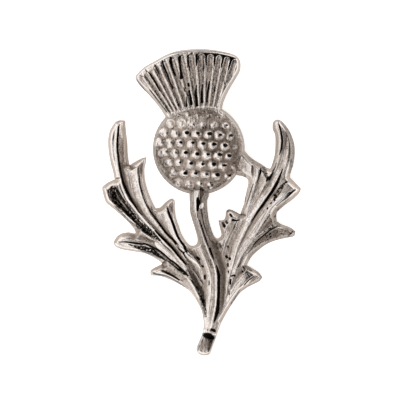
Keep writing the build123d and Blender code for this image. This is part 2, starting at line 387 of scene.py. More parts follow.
@dataclass(frozen=True)
class Rib:
    """A ridge carried along a path from foot to tip, with a flank on each hand.

    Its height at a place is the ridge's height at the nearest point of the path,
    less the fall of the flank on that hand. Round the two ends of the path the
    fall turns smoothly from one hand's to the other's. The top is rounded: the
    distance counts as the root of its square plus the crest's, less the crest.
    """

    name: str
    left: Flank
    right: Flank
    knots: tuple[Knot, ...]
    crest: float = 0.05

    def relief(self, places: np.ndarray) -> tuple[np.ndarray, np.ndarray]:
        """Work out the rib at each place.

        Args:
            places: One row a place: x, y in mm.

        Returns:
            Heights above the back in mm, and the grain across and along the rib.
        """
        path = smooth_path(in_mm(self.knots), RIB_STEP)
        length = np.cumsum(np.hypot(*np.diff(path[:, :2], axis=0, prepend=path[:1, :2]).T))
        near = nearest_on_path(places, np.column_stack([path, length]))
        away = np.sqrt(near.distance**2 + self.crest**2) - self.crest
        share = (near.hand + 1) / 2
        fall = self.left.fall(away) * (1 - share) + self.right.fall(away) * share
        grain = np.column_stack([near.distance * np.sign(near.hand), near.values[:, 1]])
        return near.values[:, 0] - fall, grain


class Strokes:
    """Cuts or beads of one kind, each along its own path.

    The fill from 0.45 to 0.6 blends into brown, partly patina and partly painted shade; about 0.7 is
    painted shade in black with bright specks, and from 0.86 it is solid black painted shade. Below 0
    it wipes clean what lies there as a painted highlight, and -1 wipes it fully.
    """

    def __init__(self, rise: float, tarnish_and_painted_light: float, *paths: tuple[Knot, ...]) -> None:
        """Keep what the strokes share and where they run.

        Args:
            rise: Their height in mm, below 0 for a cut.
            tarnish_and_painted_light: What they are filled with: patina, painted shade and, below 0, a
                painted highlight.
            paths: The knots of each, with its half width.
        """
        self.rise = rise
        self.tarnish_and_painted_light = tarnish_and_painted_light
        self.paths = paths


def draw_strokes(
    places: np.ndarray, height: np.ndarray, tarnish_and_painted_light: np.ndarray, strokes: tuple[Strokes, ...]
) -> tuple[np.ndarray, np.ndarray]:
    """Add strokes to a relief.

    Across a stroke the rise is 1 less the square of the distance over the half
    width. Its tarnish and painted light fills the same width with a soft edge.

    Args:
        places: One row a place: x, y in mm.
        height: Heights before the strokes.
        tarnish_and_painted_light: Tarnish and painted light before the strokes.
        strokes: The strokes in the order in which they are drawn.

    Returns:
        Heights, and tarnish and painted light, with the strokes.
    """
    height, tarnish_and_painted_light = height.copy(), tarnish_and_painted_light.copy()
    for kind in strokes:
        for path in kind.paths:
            knots = in_mm(path)
            margin = knots[:, 2].max() + STROKE_MARGIN
            low, high = knots[:, :2].min(0) - margin, knots[:, :2].max(0) + margin
            close = np.nonzero(((places > low) & (places < high)).all(1))[0]
            if not len(close):
                continue
            near = nearest_on_path(places[close], smooth_path(knots, STROKE_STEP))
            width = np.maximum(near.values[:, 0], LEAST_WIDTH)
            height[close] += kind.rise * np.clip(1 - (near.distance / width) ** 2, 0, None)
            before = tarnish_and_painted_light[close]
            mixed = before + (kind.tarnish_and_painted_light - before) * SOFT_EDGE.at(width - near.distance)
            # Below 0 a stroke paints a highlight: it takes the place of what lies there, wiping it clean
            tarnish_and_painted_light[close] = mixed if kind.tarnish_and_painted_light < 0 else np.maximum(before, mixed)
    return height, tarnish_and_painted_light


# From the drawing to the table

@dataclass(frozen=True)
class RestPose:
    """How the finished brooch lies: on its pin and the end of its tail, as in the part's source."""

    globe_height: float = 34.4
    tail_length: float = 7.0
    seat_gap: float = 0.05
    pin_drop: float = 3.2
    barrel_radius: float = 1.2
    shift: tuple[float, float, float] = (-0.25, -23.776, 0.548)

    def tilt(self) -> float:
        """Work out the lean about X: that of the line that touches the tail's end and the barrels.

        Returns:
            The lean in radians.
        """
        reach = self.globe_height + self.tail_length
        depth = self.seat_gap + self.pin_drop - self.barrel_radius
        return math.atan(depth / reach) + math.asin(self.barrel_radius / math.hypot(reach, depth))

    def place(self, points: np.ndarray) -> np.ndarray:
        """Turn drawing points by the lean and shift them onto the table.

        Args:
            points: One row a point: x, y, z in mm in the drawing.

        Returns:
            The points in metres in the model's frame.
        """
        lean = self.tilt()
        x, y, z = points.T
        turned = np.column_stack([
            x,
            y * math.cos(lean) - z * math.sin(lean),
            y * math.sin(lean) + z * math.cos(lean),
        ])
        return (turned + np.array(self.shift)) / METRE


REST = RestPose()


# Sheets of relief

def blur(sheet: np.ndarray, reach: int) -> np.ndarray:
    """Average a sheet of values over a square window, twice, by running sums.

    Args:
        sheet: Rows and columns of values.
        reach: How many cells the window reaches each way.

    Returns:
        The averages, in a sheet of the same size.
    """
    size = 2 * reach + 1
    for _ in range(2):
        for axis in (0, 1):
            ends = [(reach + 1, reach) if k == axis else (0, 0) for k in (0, 1)]
            total = np.cumsum(np.pad(sheet, ends, mode="edge"), axis=axis)
            high = np.take(total, range(size, total.shape[axis]), axis=axis)
            low = np.take(total, range(0, total.shape[axis] - size), axis=axis)
            sheet = (high - low) / size
    return sheet


@dataclass
class ReliefSheet:
    """One closed casting over an outline: a relief on top and a flat back.

    A square grid covers the outline. Its points outside are drawn in onto the
    outline where they touch a cell that is partly inside, so that the edge of
    the sheet follows the outline. The wall rises from the outline at its own
    steepness, and the relief is the lower of the wall and the height asked for.

    A place is polished as it stands above the mean height round it, and even with
    that it has the share called wear. Grime fills what isn't polished, and a
    faint mottle lies over all.
    """

    name: str
    outline: Outline
    relief_of: ReliefOf

    # The grid's spacing, and how many cells it goes past the outline
    pitch: float = 0.086
    border: int = 2

    # The rounding between the wall and the top
    shoulder: float = 0.055

    # How far round a place the mean height is taken, and the least covered share it is divided by
    hollow_reach: float = 0.5
    least_cover: float = 0.05

    # The polish of a place no higher than its surroundings, and how far above them it gains a whole 1
    wear: float = 0.5
    polish_height: float = 0.3

    # Tarnish: of unpolished places, and over all
    grime: float = 0.46
    mottle: float = 0.34
    mottle_swell: Swell = Swell(2.2, 21, 0.14)

    def build(self) -> bpy.types.Object:
        """Work out the grid, write the mesh and close its back.

        Returns:
            The piece, in metres, with the attributes "polish", 1 on high spots and 0 in
            recesses, "tarnish_and_painted_light", the tarnish with painted shade and painted highlights, and
            "grain".
        """
        line = self.outline.line[:, :2]
        low = line.min(0) - self.border * self.pitch
        high = line.max(0) + self.border * self.pitch
        xs = np.arange(low[0], high[0] + self.pitch, self.pitch)
        ys = np.arange(low[1], high[1] + self.pitch, self.pitch)
        grid_x, grid_y = np.meshgrid(xs, ys)
        places = np.column_stack([grid_x.ravel(), grid_y.ravel()])
        within = self.outline.inside(places)
        cover = within.astype(float).reshape(grid_x.shape)
        near = blur(cover, 1).ravel() > 0
        depth, steep = np.full(len(places), -1.0), np.zeros(len(places))
        depth[near], steep[near] = self.outline.measure(places[near])

        height, tarnish_and_painted_light, grain = np.zeros(len(places)), np.zeros(len(places)), places.copy()
        wall = depth[within] * np.tan(np.radians(steep[within]))
        top, grain[within], tarnish_and_painted_light[within] = self.relief_of(places[within])
        height[within] = soft_min(top, wall, self.shoulder)
        height = np.clip(height, 0, None)

        reach = int(round(self.hollow_reach / self.pitch))
        around = blur(height.reshape(cover.shape) * cover, reach)
        around = (around / np.maximum(blur(cover, reach), self.least_cover)).ravel()
        polish = ease(self.wear + (height - around) / self.polish_height)
        mottle = self.mottle + self.mottle_swell.at(places)
        skin = np.maximum(self.grime * (1 - polish), mottle) * within
        # The relief's own tarnish and painted light joins the grime and mottle; where it paints a highlight,
        # below 0, it wipes them off
        tarnish_and_painted_light = np.maximum(tarnish_and_painted_light, skin * np.clip(1 + tarnish_and_painted_light, 0, 1))

        number = np.arange(cover.size).reshape(cover.shape)
        squares = np.stack([number[:-1, :-1], number[:-1, 1:], number[1:, 1:], number[1:, :-1]], axis=-1)
        squares = squares.reshape(-1, 4)
        used, faces = np.unique(squares[within[squares].any(1)], return_inverse=True)
        flat = self.outline.pull_in(places[used], depth[used])
        points = REST.place(np.column_stack([flat, height[used]]))
        marks = {"polish": polish[used], "tarnish_and_painted_light": tarnish_and_painted_light[used]}
        return self.write(points, faces.reshape(-1, 4), grain[used], marks)

    def write(
        self, points: np.ndarray, faces: np.ndarray, grain: np.ndarray, marks: dict[str, np.ndarray]
    ) -> bpy.types.Object:
        """Put the relief into a mesh and fill the flat back inside its open edge.

        Args:
            points: One row a point: x, y, z in metres.
            faces: One row a face: its four points.
            grain: One row a point: how far across and along the nearest rib it is, in mm.
            marks: Names and values of the other attributes.

        Returns:
            The piece.
        """
        mesh = bpy.data.meshes.new(self.name)
        mesh.from_pydata(points.tolist(), [], faces.tolist())
        for name, values in marks.items():
            attribute = mesh.attributes.new(name, "FLOAT", "POINT")
            attribute.data.foreach_set("value", values.astype(np.float32))
        attribute = mesh.attributes.new("grain", "FLOAT_VECTOR", "POINT")
        attribute.data.foreach_set("vector", np.pad(grain, ((0, 0), (0, 1))).astype(np.float32).ravel())
        shape = bmesh.new()
        shape.from_mesh(mesh)
        bmesh.ops.remove_doubles(shape, verts=shape.verts, dist=MERGE)
        bmesh.ops.dissolve_degenerate(shape, edges=shape.edges, dist=MERGE)
        for face in shape.faces:
            face.smooth = True
        rim = [edge for edge in shape.edges if edge.is_boundary]
        for edge in rim:
            edge.smooth = False
        bmesh.ops.triangle_fill(shape, edges=rim, use_beauty=True, normal=(0, 0, -1))
        bmesh.ops.recalc_face_normals(shape, faces=shape.faces)
        open_edges = sum(edge.is_boundary for edge in shape.edges)
        shape.to_mesh(mesh)
        shape.free()
        piece = bpy.data.objects.new(self.name, mesh)
        bpy.context.scene.collection.objects.link(piece)
        LOG.info("%s: %d faces, %d open edges", self.name, len(mesh.polygons), open_edges)
        return piece


# Node and colour helpers

def linear(colour: str) -> tuple[float, float, float, float]:
    """Turn an sRGB hex colour into linear red, green, blue and alpha.

    A share of up to 0.04045 is divided by 12.92. A higher one plus 0.055, over
    1.055, is raised to the power of 2.4.

    Args:
        colour: The colour as #rrggbb.

    Returns:
        The four values.
    """
    shares = [int(colour[k : k + 2], 16) / 255 for k in (1, 3, 5)]
    red, green, blue = (v / 12.92 if v <= 0.04045 else ((v + 0.055) / 1.055) ** 2.4 for v in shares)
    return (red, green, blue, 1.0)


def add_node(
    tree: bpy.types.NodeTree,
    kind: str,
    settings: dict[str, object] | None = None,
    inputs: dict[str | int, object] | None = None,
) -> bpy.types.Node:
    """Add a node with its settings, and set or link its inputs.

    Args:
        tree: The node tree it goes into.
        kind: The node's Blender type.
        settings: Properties of the node itself.
        inputs: Values for its inputs, or output sockets to link to them.

    Returns:
        The node.
    """
    node = tree.nodes.new(kind)
    for key, value in (settings or {}).items():
        setattr(node, key, value)
    for key, value in (inputs or {}).items():
        if isinstance(value, bpy.types.NodeSocket):
            tree.links.new(value, node.inputs[key])
        else:
            node.inputs[key].default_value = value
    return node


def blank_material(name: str) -> bpy.types.Material:
    """Make a material with an empty node tree.

    Args:
        name: The material's name.

    Returns:
        The material.
    """
    material = bpy.data.materials.new(name)
    material.use_nodes = True
    material.node_tree.nodes.clear()
    return material


@dataclass(frozen=True)
class CastWhiteMetal:
    """White metal, cast in a mould, tumbled and plated bright.

    High spots are polished and mirror the room. Recesses keep the skin of the
    casting: duller, a little darker, and full of fine pits and streaks.

    Real pits and polishing streaks are a few hundredths of a millimetre across,
    too fine to show, so they are drawn about ten times as coarse. The pattern of
    the pits also makes the polish uneven and breaks up the edge of the black painted shade. Over the
    metal, the tarnish and painted light attribute lays brown patina and painted shade, black painted
    shade and painted highlights.
    """

    # The colour of polished places, which places with a painted highlight take on too
    bright: str = "#dcd4cf"
    recess: str = "#ab9d92"
    # Brown of patina and painted shade, and the black of painted shade
    patina_and_painted_shade: str = "#857a70"
    painted_shade_black: str = "#12100e"
    polished_roughness: float = 0.09
    skin_roughness: float = 0.32
    pit_size: float = 0.36
    pit_depth: float = 0.03
    pit_detail: float = 3.0
    pit_raggedness: float = 0.6
    pit_floor: float = 0.36
    pit_brim: float = 0.47
    pits_left_by_polish: float = 0.7
    streak_width: float = 0.3
    streak_length: float = 3.5
    streak_depth: float = 0.1
    streak_detail: float = 3.0
    # How much the pattern, and the tarnish and painted light, change the polish: tarnish and painted shade
    # lower it and a painted highlight, below 0, raises it; and what is added where there is none
    pattern_on_polish: float = 1.3
    tarnish_and_painted_light_on_polish: float = 1.2
    clean_polish: float = 0.41
    # Tarnish and painted light at which the brown of patina and painted shade comes in and goes out again,
    # with its share there
    patina_stops: tuple[tuple[float, float], ...] = ((0.45, 0.0), (0.6, 1.0), (0.63, 1.0), (0.68, 0.0))
    # How much of the pattern is taken from the tarnish and painted light, and from where to where the rest
    # turns to the black of painted shade
    pattern_on_black: float = 0.9
    black_start: float = 0.14
    black_blend: float = 0.09

    def material(self) -> bpy.types.Material:
        """Build the node material.

        Polish, the pattern's deviation from its middle, the dulling by tarnish and painted shade and the
        brightening by painted highlights add up to how worn bright a place is, which sets roughness and
        colour. The brown of patina and painted shade, and then the black of painted shade, are mixed over
        that by the tarnish and painted light attribute.

        Returns:
            The material.
        """
        material = blank_material("cast_white_metal")
        tree = material.node_tree
        place = add_node(tree, "ShaderNodeTexCoord").outputs["Object"]
        polish = add_node(tree, "ShaderNodeAttribute", {"attribute_name": "polish"}).outputs["Fac"]
        tarnish_and_painted_light = add_node(tree, "ShaderNodeAttribute", {"attribute_name": "tarnish_and_painted_light"}).outputs["Fac"]
        grain = add_node(tree, "ShaderNodeAttribute", {"attribute_name": "grain"}).outputs["Vector"]
        pits = add_node(tree, "ShaderNodeTexNoise", inputs={
            "Vector": place, "Scale": METRE / self.pit_size,
            "Detail": self.pit_detail, "Roughness": self.pit_raggedness}).outputs["Fac"]
        grain = add_node(tree, "ShaderNodeMapping", inputs={
            "Vector": grain, "Scale": (1 / self.streak_width, 1 / self.streak_length, 1.0)}).outputs[0]
        streaks = add_node(tree, "ShaderNodeTexNoise", inputs={
            "Vector": grain, "Scale": 1.0, "Detail": self.streak_detail}).outputs["Fac"]

        # Worn bright or dull, brightened by painted highlights and dulled by painted shade
        skin = add_node(tree, "ShaderNodeMath", {"operation": "MULTIPLY_ADD"}, {
            0: pits, 1: self.pattern_on_polish, 2: -self.pattern_on_polish / 2}).outputs[0]
        dull = add_node(tree, "ShaderNodeMath", {"operation": "MULTIPLY_ADD"}, {
            0: tarnish_and_painted_light, 1: -self.tarnish_and_painted_light_on_polish, 2: self.clean_polish}).outputs[0]
        skin = add_node(tree, "ShaderNodeMath", {"operation": "ADD"}, {0: skin, 1: dull}).outputs[0]
        worn = add_node(tree, "ShaderNodeMath", {"operation": "ADD", "use_clamp": True}, {
            0: polish, 1: skin}).outputs[0]
        roughness = add_node(tree, "ShaderNodeMapRange", inputs={
            "Value": worn, "To Min": self.skin_roughness, "To Max": self.polished_roughness}).outputs[0]

        # Colour, with the brown of patina and painted shade and the black of painted shade
        patina_and_painted_shade = add_node(tree, "ShaderNodeValToRGB", inputs={"Fac": tarnish_and_painted_light})
        stops = patina_and_painted_shade.color_ramp.elements
        half_way = 0.5
        while len(stops) < len(self.patina_stops):
            stops.new(half_way)
        for stop, (position, share) in zip(stops, self.patina_stops):
            stop.position = position
            stop.color = (share, share, share, 1)
        painted_shade_black = add_node(tree, "ShaderNodeMath", {"operation": "MULTIPLY_ADD"}, {
            0: pits, 1: -self.pattern_on_black, 2: tarnish_and_painted_light}).outputs[0]
        painted_shade_black = add_node(tree, "ShaderNodeMath", {"operation": "SUBTRACT"}, {
            0: painted_shade_black, 1: self.black_start}).outputs[0]
        painted_shade_black = add_node(tree, "ShaderNodeMapRange", {"interpolation_type": "SMOOTHSTEP"}, {
            "Value": painted_shade_black, "From Min": 0.0, "From Max": self.black_blend}).outputs[0]
        colour: bpy.types.NodeSocket | tuple[float, ...] = linear(self.recess)
        for share, tone in ((worn, self.bright), (patina_and_painted_shade.outputs["Color"], self.patina_and_painted_shade), (painted_shade_black, self.painted_shade_black)):
            colour = add_node(tree, "ShaderNodeMix", {"data_type": "RGBA"}, {
                0: share, FIRST_COLOUR: colour, SECOND_COLOUR: linear(tone)}).outputs[MIXED_COLOUR]

        # Streaks and pits in the surface
        streak_bump = add_node(tree, "ShaderNodeBump", inputs={
            "Height": streaks, "Strength": 1.0, "Distance": self.streak_depth / METRE}).outputs["Normal"]
        pits_left = add_node(tree, "ShaderNodeMapRange", inputs={
            "Value": worn, "To Min": 1.0, "To Max": self.pits_left_by_polish}).outputs[0]
        pit_shape = add_node(tree, "ShaderNodeMapRange", inputs={
            "Value": pits, "From Min": self.pit_floor, "From Max": self.pit_brim}).outputs[0]
        pit_bump = add_node(tree, "ShaderNodeBump", inputs={
            "Height": pit_shape, "Strength": pits_left, "Distance": self.pit_depth / METRE,
            "Normal": streak_bump}).outputs["Normal"]

        shader = add_node(tree, "ShaderNodeBsdfPrincipled", inputs={
            "Metallic": 1.0, "Base Color": colour, "Roughness": roughness, "Normal": pit_bump})
        add_node(tree, "ShaderNodeOutputMaterial", inputs={"Surface": shader.outputs["BSDF"]})
        return material


@dataclass(frozen=True)
class SatinSteel:
    """Stainless spring steel, drawn and tumbled: soft wide highlights with fine lines along it.

    Real drawing lines are about 0.02 mm apart, too fine to show, so they are drawn nine times as coarse.
    """

    tone: str = "#c3c1bd"
    least_roughness: float = 0.24
    most_roughness: float = 0.42
    line_spacing: float = 0.18
    line_stretch: float = 20.0
    line_depth: float = 0.03
    line_strength: float = 0.35
    line_detail: float = 2.0

    def material(self) -> bpy.types.Material:
        """Build the node material: lines drawn out along X, in the roughness and in the surface.

        Returns:
            The material.
        """
        material = blank_material("satin_steel")
        tree = material.node_tree
        place = add_node(tree, "ShaderNodeTexCoord").outputs["Object"]
        along = add_node(tree, "ShaderNodeMapping", inputs={
            "Vector": place, "Scale": (1 / self.line_stretch, 1.0, 1.0)}).outputs[0]
        lines = add_node(tree, "ShaderNodeTexNoise", inputs={
            "Vector": along, "Scale": METRE / self.line_spacing, "Detail": self.line_detail}).outputs["Fac"]
        roughness = add_node(tree, "ShaderNodeMapRange", inputs={
            "Value": lines, "To Min": self.least_roughness, "To Max": self.most_roughness}).outputs[0]
        bump = add_node(tree, "ShaderNodeBump", inputs={
            "Height": lines, "Strength": self.line_strength, "Distance": self.line_depth / METRE})
        shader = add_node(tree, "ShaderNodeBsdfPrincipled", inputs={
            "Metallic": 1.0, "Base Color": linear(self.tone), "Roughness": roughness,
            "Normal": bump.outputs["Normal"]})
        add_node(tree, "ShaderNodeOutputMaterial", inputs={"Surface": shader.outputs["BSDF"]})
        return material


# Leaves, stem and tail

@dataclass
class Leafwork:
    """Both leaves, the stem, the curl beside it and the tail, as one relief."""

    ground: float = 1.3
    blend: float = 0.06
    swells: tuple[Swell, ...] = (Swell(1.5, 3, 0.035), Swell(0.6, 4, 0.018))
    outline: tuple[Side, ...] = (
        # Stem's left edge down to the bay, and up the fourth lobe from the top
        Side(72, (
            (-10.6, 136), (-10.6, 123), (-10.2, 117), (-10, 109), (-7.8, 100), (-4.8, 90.5), (-2.6, 82),
            (-3.2, 77), (-7, 74.6), (-11.6, 76.5), (-17.7, 85), (-21, 94.2), (-23.8, 102.6), (-25, 111),
            (-25.2, 120))),
        Side(60, ((-25.2, 120), (-28.4, 121.8), (-34, 118.5), (-39.6, 113), (-44.3, 112))),
        Side(72, (
            (-44.3, 112), (-48, 119.4), (-51.8, 129), (-54.6, 139), (-55.5, 150), (-54, 158),
            (-53.6, 163.3))),
        Side(60, ((-53.6, 163.3), (-58.3, 162), (-65, 158.6), (-70.5, 155))),
        # The tip of the left leaf
        Side(59, ((-70.5, 155), (-72, 165), (-72.8, 179), (-74.2, 191.3), (-74.7, 199.7))),
        Side(60, ((-74.7, 199.7), (-80.3, 200.2), (-85, 198.3))),
        Side(70, (
            (-85, 198.3), (-90, 190), (-92, 180), (-91.5, 170), (-90, 160), (-87, 148.4), (-85.4, 141))),
        # Big outer lobe
        Side(60, ((-85.4, 141), (-92, 138), (-98, 133.4))),
        Side(68, (
            (-98, 133.4), (-97.5, 129), (-94.3, 118.5), (-87.4, 112.3), (-78.6, 104.7), (-70, 96.3),
            (-65, 90))),
        # Third and fourth lobes
        Side(60, ((-65, 90), (-65, 87), (-72, 88), (-79.7, 86.3), (-84.7, 81.7), (-86.8, 77))),
        Side(72, (
            (-86.8, 77), (-84, 73.3), (-77, 70.6), (-65.6, 68.7), (-54, 66.4), (-42.4, 60.4),
            (-37.5, 56.3))),
        Side(60, ((-37.5, 56.3), (-39.3, 55.7), (-47.6, 51.6), (-49.7, 49))),
        Side(68, (
            (-49.7, 49), (-48.6, 45), (-39.3, 44), (-26, 38.7), (-13.5, 31.5), (-5.2, 22.2), (1, 11),
            (3, 2.5))),
        Side(80, ((3, 2.5), (3.6, -5), (2, -14), (-1, -21), (-3.7, -28.5), (-2, -33))),
        # The end of the tail
        Side(72, ((-2, -33), (1.5, -35), (5, -35.2), (8, -34.8), (10, -33.6))),
        # Right leaf's lower lobe
        Side(80, ((10, -33.6), (12.3, -27), (15.4, -19), (18.5, -10), (21.6, -1.6))),
        Side(68, (
            (21.6, -1.6), (25.8, 6), (30, 13), (36, 22), (41.3, 28.4), (48.5, 33.5), (58.8, 38.7),
            (62.5, 43))),
        Side(62, ((62.5, 43), (58.8, 48), (52.6, 52), (47, 55.2))),
        # Its middle lobe
        Side(66, ((47, 55.2), (50, 61), (55, 67), (65, 75), (75, 79.5), (85, 82), (94, 84), (95.5, 89))),
        Side(60, ((95.5, 89), (90, 93), (82, 96), (77, 99))),
        # Its upper lobe
        Side(62, ((77, 99), (76.5, 105), (78, 109), (85, 115), (93, 121), (99, 127), (101, 131.5))),
        Side(60, ((101, 131.5), (95, 138), (90, 143))),
        # The tip of the right leaf
        Side(66, (
            (90, 143), (91, 148), (93.5, 156), (94.8, 166), (94.5, 175), (92, 184), (88, 192), (82, 199),
            (77, 200.8), (73.4, 198.6), (72.5, 194), (73, 190), (75, 185), (75.3, 175), (74.5, 165),
            (72, 156), (70.5, 152), (67, 152.5))),
        # The bridge to the globe, and the hole's right side
        Side(62, ((67, 152.5), (61, 156.5), (55, 160), (49, 164.5), (45, 169), (36, 174))),
        Side(62, ((36, 174), (30, 160), (33, 147))),
        Side(66, (
            (33, 147), (38, 144.8), (43, 143.8), (47.5, 141), (48, 136), (45.5, 125), (44, 117),
            (41.5, 110), (40.5, 106))),
        # The curl, and the stem's right edge
        Side(62, ((40.5, 106), (35, 109), (30, 111), (26.3, 109.5), (25.2, 103), (23, 100.3), (18.5, 100))),
        Side(66, (
            (18.5, 100), (19, 96), (20.5, 90), (21.2, 85), (17.5, 82), (14, 85), (11.2, 92), (9, 100),
            (7.6, 110), (7.4, 120), (9.4, 126), (8, 136))),
        Side(66, ((8, 136), (-10.6, 136))),
    )
    ribs: tuple[Rib, ...] = (
        # Left leaf
        Rib("left midrib", Flank(20, 0.3), Flank(17, 0.23, 50), (
            (-6, 35, 2.3), (-10, 45, 2.4), (-15.4, 56.3, 2.45), (-19.6, 61, 2.45), (-26.5, 70.5, 2.5),
            (-36, 79.6, 2.5), (-44.4, 89.6, 2.52), (-53, 98.6, 2.52), (-60, 107, 2.52), (-66, 115, 2.52),
            (-71.5, 122, 2.52), (-76, 132.5, 2.52), (-79, 142, 2.52), (-81, 150, 2.52), (-82.2, 160, 2.5),
            (-83.4, 170, 2.5), (-83, 180, 2.45), (-82, 191, 2.4), (-81, 196, 2.2))),
        Rib("left tip's face", Flank(45), Flank(9, 1.0), (
            (-85, 146, 2.3), (-87.4, 160, 2.35), (-88.8, 170, 2.3), (-88.6, 180, 2.3), (-86.6, 190, 2.2),
            (-85, 194, 2.0))),
        Rib("left midrib's companion", Flank(52), Flank(14, 0.35), (
            (-14, 51, 2.25), (-23, 62, 2.3), (-29.5, 68.5, 2.35), (-38.8, 77.2, 2.4), (-47.4, 87.1, 2.45),
            (-56, 96, 2.45), (-63, 104.2, 2.45), (-69.3, 112.3, 2.45), (-75, 120, 2.45), (-79.7, 131, 2.45),
            (-82.6, 141, 2.45), (-84, 147, 2.35))),
        Rib("left first inner lobe", Flank(15, 1.3, 8, 3.2, 40), Flank(17, 0.22, 56), (
            (2, 37, 1.9), (-6, 49, 2.0), (-12, 58, 2.1), (-18, 68, 2.15), (-25, 77, 2.2), (-29.2, 83, 2.25),
            (-37, 91, 2.3), (-44.4, 99.6, 2.35), (-50, 107.6, 2.35), (-52.8, 115, 2.35), (-56.5, 124, 2.35),
            (-59.3, 132.5, 2.3), (-61.2, 142, 2.25), (-62.6, 150, 2.2), (-61.5, 156, 2.0))),
        Rib("left second inner lobe", Flank(16, 0.9, 5), Flank(17, 0.3, 56), (
            (9, 30, 1.9), (7, 38, 1.95), (4, 45, 2.0), (1, 55, 2.05), (-6, 62.5, 2.1), (-14.5, 71, 2.2),
            (-20, 79, 2.3), (-24, 86, 2.3), (-26.8, 94, 2.3), (-30.2, 103, 2.3), (-32.6, 109, 2.25),
            (-33, 114, 2.05))),
        Rib("big lobe's rim", Flank(40), Flank(17), (
            (-42, 78.5, 1.9), (-48, 82, 2.0), (-57, 88, 2.1), (-66, 95.5, 2.2), (-74.5, 103, 2.25),
            (-83, 110.5, 2.25), (-90.5, 117.5, 2.25), (-94.3, 125, 2.25), (-94.8, 131, 2.2),
            (-91, 135.5, 2.15), (-86, 138, 2.2))),
        Rib("third lobe's brow", Flank(6, 0.6, 22), Flank(30), (
            (-40, 76, 1.9), (-50, 79.5, 1.95), (-59, 81, 2.0), (-67, 82.6, 2.0), (-76, 82.3, 2.0),
            (-82, 79.5, 1.9))),
        Rib("third lobe's bright face", Flank(15, 0.85, 50), Flank(20), (
            (-8, 43.5, 2.1), (-14.7, 50.3, 2.2), (-23.7, 61.3, 2.27), (-30.2, 67.8, 2.33),
            (-36, 73.2, 2.35), (-40, 76.5, 2.3))),
        Rib("third lobe's upper ridge", Flank(13, 0.5, 25), Flank(17, 0.18, 45), (
            (2, 12, 2.0), (0.3, 21, 2.05), (-2.7, 31, 2.1), (-7.5, 38, 2.1), (-13.7, 43.5, 2.15),
            (-19.7, 49, 2.15), (-26.7, 55, 2.15), (-34.7, 62, 2.15), (-39.7, 66.6, 2.15),
            (-45.5, 70.2, 2.15), (-50.5, 73.6, 2.15), (-55, 75.2, 2.1), (-65, 77, 2.05),
            (-81, 78.3, 1.85))),
        Rib("third lobe's lower ridge", Flank(14), Flank(17, 0.16, 40), (
            (-10, 36, 1.85), (-17.5, 44, 1.9), (-25.7, 50.5, 1.9), (-33.7, 56.7, 1.95), (-40.7, 61.7, 1.95),
            (-50.5, 66.7, 1.95), (-55.5, 69.7, 1.9), (-65.5, 72.3, 1.85), (-80, 75.6, 1.7))),
        Rib("fourth lobe's upper ridge", Flank(12, 0.5, 25), Flank(17, 0.23, 35), (
            (1, 19, 1.9), (-5.5, 27.6, 1.9), (-13.7, 33.7, 1.9), (-22.7, 40.6, 1.9), (-30.7, 45, 1.9),
            (-38, 48.7, 1.8), (-42, 50.5, 1.7))),
        Rib("fourth lobe's lower ridge", Flank(14), Flank(17, 0.13, 30), (
            (1, 10, 1.65), (-4, 19, 1.7), (-10, 27, 1.7), (-18, 34.6, 1.7), (-26, 40, 1.75),
            (-33, 43.1, 1.75), (-40.5, 45.2, 1.7), (-47, 46.6, 1.6))),
        Rib("foot of the left leaf", Flank(14), Flank(19, 0.9, 30), (
            (6, -6, 1.9), (5, 2, 2.0), (3, 10, 2.05), (1, 19, 2.1), (-2.5, 28, 2.15), (-6, 35, 2.2),
            (-10, 44, 2.3), (-15.4, 55, 2.4))),
        # Stem
        Rib("stem", Flank(19, 0.4, 5, 1.4, 42), Flank(17, 0.14, 33), (
            (10.5, -9, 2.2), (12.4, -3, 2.5), (14.5, 5, 2.7), (16.5, 17, 2.9), (17.4, 32, 3.0),
            (17.2, 44, 3.1), (15.8, 51, 3.1), (12.8, 60, 3.1), (8.2, 71, 3.1), (4.4, 80, 3.1),
            (0.4, 90.4, 3.1), (-2, 100, 3.05), (-3, 112, 3.0), (-2, 124, 3.0), (0, 136, 3.0))),
        Rib("tail", Flank(4, 1.3, 45), Flank(4, 1.3, 45), (
            (8.6, -11.5, 1.2), (8.2, -13, 1.25), (7.2, -17, 1.5), (6.4, -21, 1.78), (5.3, -26, 1.82),
            (4.5, -31, 1.75), (4.3, -34, 1.5))),
        # Right leaf
        Rib("right tip's rim", Flank(18, 0.35, 12), Flank(17, 0.2, 32), (
            (45, 95, 2.1), (52, 110, 2.2), (58.5, 123, 2.3), (64.5, 135, 2.4), (69, 142, 2.45),
            (72, 149, 2.5), (75.5, 158, 2.5), (78.3, 168, 2.5), (80.5, 175, 2.5), (81, 181, 2.45),
            (80, 189, 2.35), (77.5, 197, 2.1))),
        Rib("right midrib", Flank(17, 0.9, 7), Flank(17, 0.1, 62), (
            (48.2, 95, 2.55), (50.7, 99, 2.6), (54.2, 105, 2.6), (58.2, 111, 2.6), (63.2, 118, 2.6),
            (68.2, 126, 2.6), (73.2, 133, 2.6), (76.2, 139, 2.55), (79.2, 145, 2.5), (81.5, 149, 2.4),
            (83, 152, 2.2))),
        Rib("right midrib's foot", Flank(17, 0.9, 4), Flank(12, 0.08, 62), (
            (21, 3, 2.0), (25.5, 22, 2.2), (28.5, 40, 2.35), (32.5, 55, 2.45), (35, 63, 2.5),
            (37, 70.5, 2.5), (40.2, 79, 2.55), (44.2, 87, 2.6), (48.2, 95, 2.6), (50, 98, 2.55))),
        Rib("right tip's face", Flank(16, 0.5, 12), Flank(3), (
            (80, 142, 2.4), (83.5, 149, 2.45), (86, 158, 2.4), (88, 168, 2.3), (88.3, 176, 2.1))),
        Rib("bridge", Flank(15, 0.4, 8), Flank(17, 0.13, 40), (
            (41, 92, 2.0), (45, 110, 2.25), (48, 125, 2.35), (50.5, 140, 2.4), (51, 155, 2.35),
            (49, 162, 2.2))),
        Rib("bridge's outer rib", Flank(14), Flank(17, 0.16, 40), (
